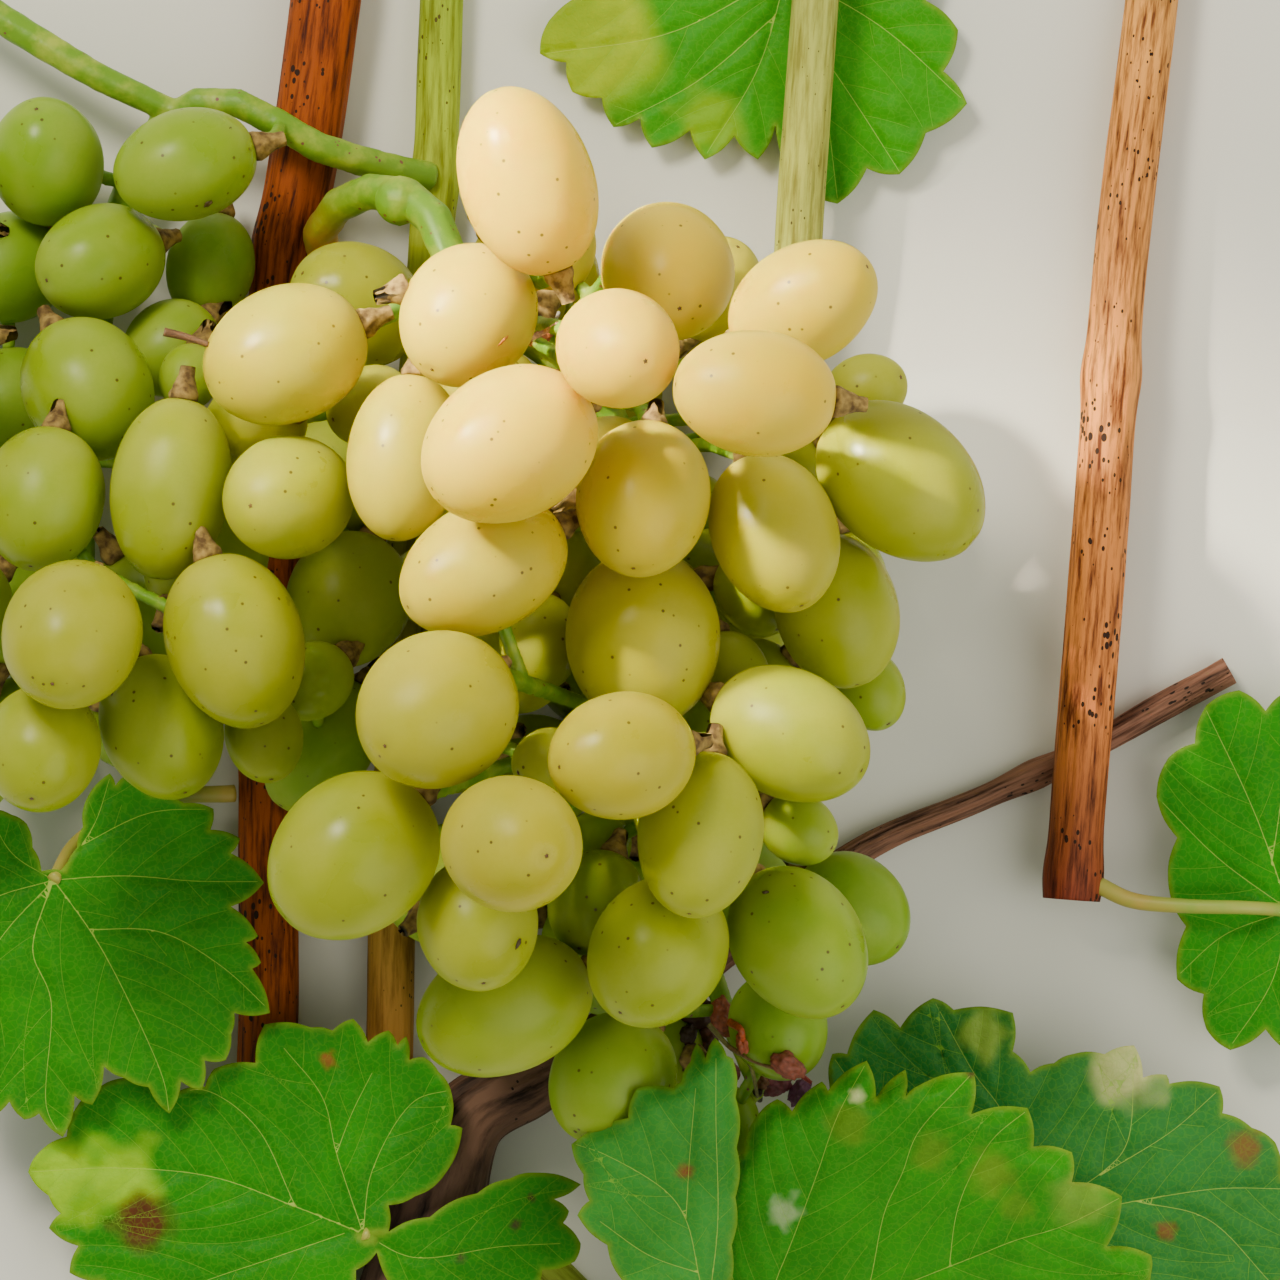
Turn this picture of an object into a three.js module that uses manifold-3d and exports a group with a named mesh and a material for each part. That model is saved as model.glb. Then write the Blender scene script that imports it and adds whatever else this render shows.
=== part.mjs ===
// A cut piece of grapevine, lying on its back: old wood with four canes, a low shoot, two hanging
// bunches of white table grapes and seven leaves. The viewer looks down on it, along -Z.
// X runs to the viewer's right, Y up the picture and Z out of the surface that it lies on.
// All sizes are in millimetres.
import * as THREE from "three";
import { mergeVertices } from "three/addons/utils/BufferGeometryUtils.js";
import Module from "manifold-3d";

const wasm = await Module();
wasm.setup();

// The driving sizes of the piece.
const GAP = 0.35; // clear air between two solids that meet
const BERRY_SPACING = 0.3; // least air between two berries
const EGG = 0.06; // how much a berry narrows towards its blossom end
const SLACK = 14; // how far a berry may lie behind those in front of it
const CLOSED_GAPS = 2.5; // gaps up to twice this wide count as covered
const SETTLING_ROUNDS = 400;
const LARGE_HIDDEN = { long: 24, wide: 21.5, pitch: 23.5 }; // berries at the back, and their spacing
const SMALL_HIDDEN = { long: 18.5, wide: 17, pitch: 16 };
const SWAY = 6; // how far a berry at the back stands aside from the one under it
const JITTER = 3; // how far a column of berries at the back stands off its place in the grid
const DROOP = { least: 10, spread: 40 }; // how far their blossom ends hang down, in degrees
const GRID = { rows: 7, steps: 5 }; // how many columns of them are tried each way from the middle
const SINGLE_FACETS = { around: 9, along: 6 };
const BACK_FACETS = { around: 7, along: 5 };
const HIDDEN_FACETS = { around: 6, along: 4 };
const KEEP_CLEAR = 0.42; // a berry grown by this holds its air, on its flat facets too
const PEDICEL_RADIUS = 1.15;
const STEM_TRIES = 24; // the nearest places that a side stem tries to reach
const BENDS = [0, 3, 6, 9, 12, 16, 20]; // how far a stem may bend aside to pass a berry
const BEND_WAYS = [270, 225, 315, 180, 0, 135, 45, 90]; // and which way, the low ones first
const CLEAR_OF_BERRY = 4; // the first balls of a berry's stem, where no other stem joins
const LARGEST_HALF = 16; // no berry reaches further than this from its middle
const BALL_SPACING = 3; // between the balls that stand for a stem where bodies are kept clear
const BLADE_THICKNESS = 1.3;
const PETIOLE_RADIUS = 1.25;
const TOP_OF_SEARCH = 60; // no two bodies meet that are further apart in height
const STEP_DOWN = 0.2;

const RADIANS = Math.PI / 180;
const vec = (x, y, z) => new THREE.Vector3(x, y, z);

const material = (name, color, roughness) =>
  Object.assign(new THREE.MeshStandardMaterial({ color, roughness, metalness: 0 }), { name });
const RIPE_SKIN = material("sunlit berry skin", 0xe3c75c, 0.38);
const PALE_SKIN = material("shaded berry skin", 0xb9b85a, 0.42);
const GREEN_SKIN = material("back berry skin", 0x93ab45, 0.45);
const CANE_BARK = material("ripened cane bark", 0x9c5424, 0.62);
const OLD_BARK = material("old bark", 0x4f3a2c, 0.85);
const GREEN_STEM = material("green stem", 0x8fae4a, 0.55);
const BLADE_GREEN = material("leaf blade", 0x2f8a1e, 0.45);

// A repeatable random number from 0 to 1, by a linear congruence.
function seeded(seed) {
  let state = seed;
  return () => {
    state = (state * 1103515245 + 12345) % 2147483648;
    return state / 2147483648;
  };
}

function solidOf(geometry) {
  const bare = geometry.index ? geometry.toNonIndexed() : geometry.clone();
  bare.deleteAttribute("normal");
  bare.deleteAttribute("uv");
  const merged = mergeVertices(bare, 1e-3);
  return new wasm.Manifold(
    new wasm.Mesh({
      numProp: 3,
      vertProperties: merged.attributes.position.array,
      triVerts: new Uint32Array(merged.index.array),
    }),
  );
}

function meshOf(name, solid, skin) {
  const made = solid.getMesh();
  const geometry = new THREE.BufferGeometry();
  geometry.setAttribute("position", new THREE.BufferAttribute(made.vertProperties, 3));
  geometry.setIndex(new THREE.BufferAttribute(made.triVerts, 1));
  geometry.computeVertexNormals();
  const mesh = new THREE.Mesh(geometry, skin);
  mesh.name = name;
  return mesh;
}

const largestPiece = (solid) =>
  solid.decompose().reduce((best, piece) => (piece.volume() > best.volume() ? piece : best));

const joined = (solids) => wasm.Manifold.union(solids);

// A limb: a round stem along a smooth line, its radius eased from one listed radius to the next.
function limb({ route, radii, sides = 8, steps = 16 }, grow = 0) {
  const line = new THREE.CatmullRomCurve3(route, false, "centripetal");
  const frames = line.computeFrenetFrames(steps, false);
  const tube = new THREE.CylinderGeometry(1, 1, 1, sides, steps);
  const place = tube.attributes.position;
  for (let i = 0; i < place.count; i++) {
    const step = Math.round((place.getY(i) + 0.5) * steps);
    const along = (step / steps) * (radii.length - 1);
    const before = Math.min(Math.floor(along), radii.length - 2);
    const radius = THREE.MathUtils.lerp(radii[before], radii[before + 1], along - before) + grow;
    const point = line
      .getPointAt(step / steps)
      .addScaledVector(frames.binormals[step], place.getX(i) * radius)
      .addScaledVector(frames.normals[step], place.getZ(i) * radius);
    place.setXYZ(i, point.x, point.y, point.z);
  }
  return solidOf(tube);
}

// Balls along a limb, which berries are let down onto.
function ballsAlong({ route, radii }) {
  const line = new THREE.CatmullRomCurve3(route, false, "centripetal");
  const count = Math.ceil(line.getLength() / BALL_SPACING);
  return Array.from({ length: count + 1 }, (_, i) => {
    const along = (i / count) * (radii.length - 1);
    const before = Math.min(Math.floor(along), radii.length - 2);
    const radius = THREE.MathUtils.lerp(radii[before], radii[before + 1], along - before);
    return { centre: line.getPointAt(i / count), long: radius, wide: radius, axis: vec(1, 0, 0) };
  });
}

// The wood, as laid on the surface: a limb's centre line lies its own radius above Z = 0. The right
// cane lies across the thin arm of the old wood.
const WOOD = {
  old_wood: {
    route: [
      vec(-40, -131, 10),
      vec(-38, -110, 9.5),
      vec(-34, -93, 8.5),
      vec(-29, -81, 7),
      vec(-15, -73, 5.5),
      vec(10, -56, 3.7),
      vec(38, -35.5, 2.7),
      vec(58, -26.8, 2.5),
      vec(75, -19, 2.6),
      vec(87.6, -12, 2.7),
      vec(100, -5, 2.75),
    ],
    radii: [10, 9.4, 8.2, 5.9, 4.6, 3.4, 2.7, 2.4, 2.35, 2.5, 2.6],
    sides: 10,
    steps: 20,
  },
  cane_left: {
    route: [
      vec(-50.5, -121, 5.6),
      vec(-58, -113, 5.5),
      vec(-63, -95, 5.3),
      vec(-63, -60, 5.2),
      vec(-63, -27, 5.3),
      vec(-62, 23, 5.5),
      vec(-60.5, 60, 5.8),
      vec(-56.5, 85, 6.1),
      vec(-53.5, 107, 6.3),
      vec(-52.5, 116, 6.3),
    ],
    radii: [5.4, 5.2, 5.2, 5.3, 5.5, 5.7, 6, 6.2],
    sides: 9,
    steps: 18,
  },
  cane_middle: {
    route: [
      vec(-43.3, -92, 4.2),
      vec(-42.5, -70, 4.1),
      vec(-42, -40, 4),
      vec(-40, 0, 4),
      vec(-37.5, 40, 4),
      vec(-35, 75, 4),
      vec(-33.8, 105, 4),
      vec(-33.5, 116, 4),
    ],
    radii: [4.2, 4.1, 4, 3.9, 3.8],
    sides: 8,
    steps: 14,
  },
  cane_back: {
    route: [
      vec(20.2, -46, 4.3),
      vec(24.5, 0, 4.5),
      vec(26, 40, 7),
      vec(26.8, 66, 9.9),
      vec(28, 85, 10.7),
      vec(29.5, 106, 11),
      vec(30, 114, 11),
    ],
    radii: [4.2, 4.2, 4.1],
    sides: 8,
    steps: 12,
  },
  cane_right: {
    route: [
      vec(73, -44, 10.2),
      vec(75, -18, 10.35),
      vec(77, 6, 9.6),
      vec(81.5, 64, 7),
      vec(86.5, 106, 5),
      vec(87.5, 115, 4.8),
    ],
    radii: [4.7, 4.9, 4.9, 4.8, 4.7, 4.6],
    sides: 8,
    steps: 14,
  },
  low_shoot: {
    route: [
      vec(-26, -96, 3.6),
      vec(-14, -108, 3.4),
      vec(4, -124, 3.2),
      vec(30, -133, 3),
      vec(62, -132, 2.8),
      vec(88, -124, 2.5),
    ],
    radii: [3.4, 3.1, 2.8, 2.4],
    sides: 7,
    steps: 14,
  },
};

// The bunch stems: from a cane, over in an arch, and down the middle of the bunch.
const BUNCH_STEM = {
  main: {
    route: [
      vec(-53.8, 65, 8),
      vec(-53.5, 71, 17),
      vec(-47, 75.5, 24),
      vec(-38.5, 74.5, 31),
      vec(-33, 68, 37),
      vec(-30, 58, 38),
      vec(-17, 50, 34),
      vec(-4, 36, 31),
      vec(0, 8, 29),
      vec(4, -26, 27),
      vec(12, -56, 27),
      vec(20, -76, 29),
    ],
    radii: [2.9, 2.6, 2.7, 3, 2.8, 2.6, 2.4, 2.2, 2, 1.7, 1.3],
    sides: 7,
    steps: 26,
  },
  left: {
    route: [
      vec(-35.6, 78.5, 7.6),
      vec(-45, 80.5, 14.5),
      vec(-56, 84, 18.5),
      vec(-67, 90.5, 19),
      vec(-78, 90, 15),
      vec(-87, 76, 10),
      vec(-92, 52, 7),
      vec(-94, 22, 6),
      vec(-96, -8, 6),
    ],
    radii: [2.4, 2.3, 2.3, 2.4, 2.2, 1.9, 1.5],
    sides: 7,
    steps: 20,
  },
};

// The berries that show, from the back of the bunch to its front. Each row is one berry:
// its name, how far right and up its middle is, its long and wide sizes, the way that its blossom
// end points in the picture, in degrees from the right, and by how much that end tips to the viewer.
// The back rows are fused into clusters, and the others are solids of their own.
const MAIN_BACK = [
  ["m04", -48, 56.7, 24.5, 22, 150, 30],
  ["m09", 12.5, 59.2, 19, 17, 60, 30],
  ["m13", 38, 42, 15, 13, 20, 30],
  ["m18", -35.8, 9.5, 16, 14, 200, 30],
  ["m19", -49.2, 6.7, 24, 22.5, 250, 30],
  ["m24", 19.5, 8, 16, 14.5, 300, 20],
  ["m26", 38.3, -8.3, 15, 13, 300, 20],
  ["m30", -53.7, -18, 25.5, 18, 235, 10],
  ["m33", -15.3, -20.3, 13, 12, 200, 30],
  ["m32", -7.2, -34.7, 13, 12, 250, 30],
  ["m36", -7.5, -44.2, 19, 17, 250, 30],
  ["m39", 35.8, -45.3, 21.5, 19, 320, 20],
  ["m40", 26.7, -31.7, 14, 12.5, 330, 20],
  ["m42", 23.3, -65, 19, 17.5, 290, 20],
  ["m43", 14.7, -81.7, 14, 12, 280, 20],
  ["m44", -45.3, 39.2, 16, 14.5, 200, 30],
  ["m45", -55, -7, 15, 13.5, 220, 30],
  ["m21", -16.7, -0.3, 17, 14.5, 275, 20],
  ["m23", 15.3, -6.3, 16.5, 14, 290, 25],
];
const MAIN_FRONT = [
  ["m25", 33, 4.7, 26.5, 22, 285, 10],
  ["m05", -39.2, 30.3, 28.5, 20.5, 262, 10],
  ["m08", 4.7, 61.3, 26.5, 23.7, 287, 60],
  ["m12", 43.7, 26.3, 31.5, 25, 320, 5],
  ["m27", 25.2, -15.8, 28.7, 22.8, 333, 20],
  ["m41", -4.8, -73.8, 24, 22, 235, 25],
  ["m35", -22.8, -61.3, 31, 24, 203, 12],
  ["m38", 26.5, -50.7, 28, 23, 305, 20],
  ["m34", -27, -47.5, 23, 21.5, 276, 30],
  ["m17", 0.5, 0, 30, 27.5, 272, 10],
  ["m37", 2.8, -52.2, 27.5, 24, 238, 30],
  ["m28", -47.8, -36, 31, 27.5, 222, 8],
  ["m02", -28.7, 53.8, 25.5, 23.8, 237, 30],
  ["m01", -18.8, 76.2, 32.5, 23.8, 109, 8],
  ["m03", -59.3, 47.5, 28.3, 24.4, 202, 8],
  ["m10", 27.2, 55.8, 27.5, 21, 30, 25],
  ["m16", -26.2, 12, 30.5, 23, 208, 20],
  ["m15", 22.5, 17.7, 28, 22.5, 290, 20],
  ["m31", 10, -32.5, 28.7, 22.3, 262, 20],
  ["m22", -3.2, -19.2, 26, 22.5, 190, 35],
  ["m20", -33.8, -11.7, 29.5, 27.2, 215, 45],
  ["m29", -21, -33.7, 27, 24, 342, 63],
  ["m14", 0.5, 23.3, 27.5, 23.7, 262, 30],
  ["m06", -21.8, 32.2, 31, 26.5, 210, 15],
  ["m07", -3.5, 48, 24, 21, 334, 65],
  ["m11", 18.8, 40.7, 27.3, 22.2, 174, 10],
];
const LEFT_BACK = [
  ["l04", -72.8, 63, 19.5, 16, 260, 20],
  ["l06", -79.2, 49.2, 18, 17, 220, 30],
  ["l07", -75.8, 44.2, 12, 11, 250, 30],
  ["l15", -107, 63, 23, 20, 200, 30],
  ["l16", -107, 40, 22, 20, 200, 30],
  ["l17", -63, -16.3, 16, 14, 280, 20],
  ["l18", -122, 74, 23, 20, 160, 20],
  ["l19", -130, 58, 24, 21, 170, 20],
  ["l20", -120, 49, 22, 20, 190, 20],
  ["l21", -137, 34, 25, 21, 190, 10],
  ["l22", -116, 5, 22, 20, 220, 20],
  ["l23", -114, -20, 22, 20, 260, 20],
  ["l24", -125, 18, 26, 22, 215, 20],
];
const LEFT_FRONT = [
  ["l01", -100.3, 81, 23.5, 20.5, 100, 40],
  ["l03", -91.2, 63.7, 23.5, 20.6, 200, 35],
  ["l05", -92.7, 42, 26, 23.3, 300, 30],
  ["l08", -100, 23.5, 25, 22, 260, 20],
  ["l13", -80, -14.7, 25.5, 21.7, 290, 20],
  ["l14", -100, -18.3, 22.5, 21, 260, 40],
  ["l02", -76.7, 80, 24.8, 20, 195, 10],
  ["l09", -78.5, 25.2, 31, 21.5, 262, 5],
  ["l12", -67.5, -0.3, 30, 24.5, 288, 10],
  ["l11", -94.7, 0.7, 27.5, 24.8, 250, 50],
  ["l10", -58.8, 23.8, 25.5, 22, 194, 60],
];

// Half the width of a body's shadow along a unit direction. Two bodies whose middles are further
// apart than the sum of these are clear of each other.
function reach(body, direction) {
  const along = direction.dot(body.axis);
  return Math.sqrt(body.wide ** 2 + (body.long ** 2 - body.wide ** 2) * along ** 2);
}

function airBetween(a, b) {
  const apart = b.centre.clone().sub(a.centre);
  const distance = apart.length();
  apart.divideScalar(distance || 1);
  return distance - reach(a, apart) - reach(b, apart);
}

const berryOf = ([name, x, y, long, wide, lean, nod]) => ({
  name,
  centre: vec(x, y, 0),
  long: long / 2,
  wide: wide / 2,
  axis: vec(
    Math.cos(lean * RADIANS) * Math.cos(nod * RADIANS),
    Math.sin(lean * RADIANS) * Math.cos(nod * RADIANS),
    Math.sin(nod * RADIANS),
  ),
});

const apartFromAbove = (a, b) => Math.hypot(a.centre.x - b.centre.x, a.centre.y - b.centre.y);

// How much higher than the one behind it the front body's middle must lie, so that they do not
// meet. Nothing where they pass each other at any height.
function stepOver(front, back) {
  if (apartFromAbove(front, back) > front.long + back.long + BERRY_SPACING) return null;
  const lifted = { ...front, centre: front.centre.clone() };
  for (let step = TOP_OF_SEARCH; step > -TOP_OF_SEARCH; step -= STEP_DOWN) {
    lifted.centre.z = back.centre.z + step;
    if (airBetween(lifted, back) < BERRY_SPACING) return step + STEP_DOWN;
  }
  return null;
}

// Gives the berries that show their heights. Each starts on a dome over its bunch, and pairs that
// meet then push each other apart, the front one up and the back one down to the wood at most.
function settle(rows, wood) {
  const berries = rows.map(({ row, dome }) => {
    const berry = berryOf(row);
    const lows = wood.map((body) => body.centre.z + (stepOver(berry, body) ?? -Infinity));
    const least = Math.max(reach(berry, vec(0, 0, 1)), ...lows);
    const [dx, dy] = [(row[1] - dome.x) / dome.wide, (row[2] - dome.y) / dome.high];
    berry.centre.z = Math.max(least, dome.rim + dome.rise * (1 - dx * dx - dy * dy));
    return { ...berry, least };
  });
  const pairs = berries.flatMap((front, i) =>
    berries
      .slice(0, i)
      .map((back) => {
        const level = { ...back, centre: vec(back.centre.x, back.centre.y, 0) };
        return { front, back, step: stepOver(front, level) };
      })
      .filter(({ step }) => step !== null),
  );
  for (let round = 0; round < SETTLING_ROUNDS; round++) {
    for (const { front, back, step } of pairs) {
      const lack = step - (front.centre.z - back.centre.z);
      if (lack <= 0) continue;
      front.centre.z += lack / 2;
      back.centre.z = Math.max(back.least, back.centre.z - lack / 2);
    }
  }
  for (const { front, back, step } of pairs) {
    front.centre.z = Math.max(front.centre.z, back.centre.z + step);
  }
  for (const back of [...berries].reverse()) {
    const tops = pairs.filter((pair) => pair.back === back).map(({ front, step }) => front.centre.z - step);
    if (tops.length) back.centre.z = Math.max(back.centre.z, Math.min(...tops) - SLACK);
  }
  return berries;
}

// True where a round spot lies wholly behind the berries that show, or their small gaps.
function isBehind(x, y, radius, showing) {
  const rim = Array.from({ length: 10 }, (_, i) => i * 36 * RADIANS);
  return [...rim.map((turn) => [x + radius * Math.cos(turn), y + radius * Math.sin(turn)]), [x, y]].every(
    ([px, py]) =>
      showing.some((berry) => {
        const flat = Math.hypot(berry.axis.x, berry.axis.y) || 1;
        const along = ((px - berry.centre.x) * berry.axis.x + (py - berry.centre.y) * berry.axis.y) / flat;
        const across = ((px - berry.centre.x) * -berry.axis.y + (py - berry.centre.y) * berry.axis.x) / flat;
        const half = Math.sqrt(berry.wide ** 2 + (berry.long ** 2 - berry.wide ** 2) * flat ** 2);
        return (along / (half + CLOSED_GAPS)) ** 2 + (across / (berry.wide + CLOSED_GAPS)) ** 2 < 1;
      }),
  );
}

// The berries at the back: columns of a staggered grid with a little disorder, filled from the
// surface up wherever one fits behind all the berries that show.
function fillBack({ tag, centre, size, kind, shift, seed }, showing, placed) {
  const random = seeded(seed);
  const found = [];
  const rowPitch = kind.pitch * Math.sin(60 * RADIANS);
  for (let row = -GRID.rows; row <= GRID.rows; row++) {
    for (let step = -GRID.steps; step <= GRID.steps; step++) {
      const x = centre.x + (step + (row % 2) / 2 + shift) * kind.pitch + (random() - 0.5) * JITTER;
      const y = centre.y + (row + shift) * rowPitch + (random() - 0.5) * JITTER;
      const [lean, nod] = [random() * 360, -DROOP.least - random() * DROOP.spread];
      if (Math.abs(x - centre.x) > size.x || Math.abs(y - centre.y) > size.y) continue;
      if (!isBehind(x, y, kind.long / 2 + CLOSED_GAPS, showing)) continue;
      const column = berryOf(["", x, y, kind.long, kind.wide, lean, nod]);
      const over = showing.filter((other) => apartFromAbove(column, other) < other.long + column.long);
      const highest = Math.min(...over.map((other) => other.centre.z));
      const near = [...placed, ...found].filter(
        (other) => apartFromAbove(column, other) < other.long + column.long + SWAY + BERRY_SPACING,
      );
      for (let z = reach(column, vec(0, 0, 1)); z < highest; z += 1) {
        const [aside, along] = [(random() - 0.5) * SWAY, (random() - 0.5) * SWAY];
        const berry = berryOf([tag + found.length, x + aside, y + along, kind.long, kind.wide, lean, nod]);
        berry.centre.z = z;
        if (near.some((other) => airBetween(berry, other) < BERRY_SPACING)) continue;
        if (!isBehind(x + aside, y + along, kind.long / 2 + CLOSED_GAPS, showing)) continue;
        found.push(berry);
        near.push(berry);
      }
    }
  }
  return found;
}

// A berry's solid: a spheroid that narrows towards its blossom end, which points along its axis.
function berrySolid(berry, grow = 0) {
  const skin = new THREE.SphereGeometry(1, berry.facets.around, berry.facets.along);
  const turn = new THREE.Quaternion().setFromUnitVectors(vec(0, 1, 0), berry.axis);
  const place = skin.attributes.position;
  for (let i = 0; i < place.count; i++) {
    const height = place.getY(i);
    const width = (berry.wide + grow) * (1 - (EGG * (1 + height)) / 2);
    const point = vec(place.getX(i) * width, height * (berry.long + grow), place.getZ(i) * width)
      .applyQuaternion(turn)
      .add(berry.centre);
    place.setXYZ(i, point.x, point.y, point.z);
  }
  return solidOf(skin);
}

const stemEnd = (berry, beyond) =>
  berry.centre.clone().addScaledVector(berry.axis, -(berry.long + beyond));

// Whether a thin stem that runs straight between two points stays clear of everything.
function isClear(from, to, radius, others) {
  for (let i = 0; i <= 8; i++) {
    const spot = { centre: from.clone().lerp(to, i / 8), long: radius, wide: radius, axis: vec(1, 0, 0) };
    const touches = (other) =>
      spot.centre.distanceTo(other.centre) < other.long + radius + GAP && airBetween(spot, other) < GAP;
    if (others.some(touches)) return false;
  }
  return true;
}

// The first of several ways between two points that passes clear of everything: straight, or by
// an ever wider bend, the low ones first. Nothing if they are all blocked.
function clearWay(from, to, radius, others) {
  const half = from.clone().lerp(to, 0.5);
  const around = from.distanceTo(to) / 2 + Math.max(...BENDS) + LARGEST_HALF;
  const near = others.filter(({ centre }) => centre.distanceTo(half) < around);
  const way = to.clone().sub(from).normalize();
  const level = vec(-way.y, way.x, 0).normalize();
  const upward = level.clone().cross(way);
  for (const bend of BENDS) {
    for (const turn of bend ? BEND_WAYS : [0]) {
      const middle = half
        .clone()
        .addScaledVector(level, bend * Math.cos(turn * RADIANS))
        .addScaledVector(upward, bend * Math.sin(turn * RADIANS));
      if (middle.z < radius + GAP) continue;
      if (!isClear(from, middle, radius, near) || !isClear(middle, to, radius, near)) continue;
      return bend ? [from, middle, to] : [from, to];
    }
  }
  return null;
}

const byDistance = (bodies, from) =>
  bodies.map(({ centre }) => centre).sort((a, b) => a.distanceTo(from) - b.distanceTo(from));

// The stems of single berries: each runs from its berry's stem end to the nearest place of the bunch
// stem that it can reach. Where the stem end is shut in, it leaves the berry's side instead and may
// join another stem.
function pedicelsOf(berries, bunchStem, everything) {
  const pedicels = [];
  const blocked = [];
  for (const berry of berries) {
    const others = everything.filter((body) => body !== berry && !bunchStem.includes(body));
    const out = stemEnd(berry, 2.5);
    const ways = byDistance(bunchStem.filter((_, i) => i % 2 === 0), out)
      .values()
      .map((place) => clearWay(out, place, PEDICEL_RADIUS, others));
    const way = ways.find((found) => found);
    if (way) {
      const radii = [2, 1.3, PEDICEL_RADIUS, PEDICEL_RADIUS];
      pedicels.push({ route: [stemEnd(berry, 0.6), ...way], radii, sides: 4, steps: way.length + 1 });
    } else blocked.push(berry);
  }
  for (const berry of blocked) {
    const made = pedicels.flatMap((pedicel) => ballsAlong(pedicel).slice(CLEAR_OF_BERRY));
    const stem = sideStem([berry], [...bunchStem, ...made], everything);
    if (stem) pedicels.push(stem);
  }
  return pedicels;
}

// A side stem to the first of some berries that can be reached from the bunch's stems, the nearest
// places first. It runs on into the berry, which cuts its end later.
function sideStem(berries, bunchStems, everything) {
  const others = everything.filter((body) => !bunchStems.includes(body));
  const pairs = berries
    .flatMap((berry) =>
      byDistance(bunchStems, berry.centre)
        .slice(0, STEM_TRIES)
        .map((place) => ({ berry, place, far: berry.centre.distanceTo(place) })),
    )
    .sort((a, b) => a.far - b.far);
  for (const { berry, place } of pairs) {
    const towards = place.clone().sub(berry.centre).normalize();
    const out = berry.centre.clone().addScaledVector(towards, reach(berry, towards) + PEDICEL_RADIUS);
    const way = clearWay(out, place, PEDICEL_RADIUS, others.filter((body) => body !== berry));
    if (!way) continue;
    const radii = [PEDICEL_RADIUS, PEDICEL_RADIUS];
    return { route: [berry.centre, ...way], radii, sides: 4, steps: way.length + 1 };
  }
  return null;
}

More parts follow.
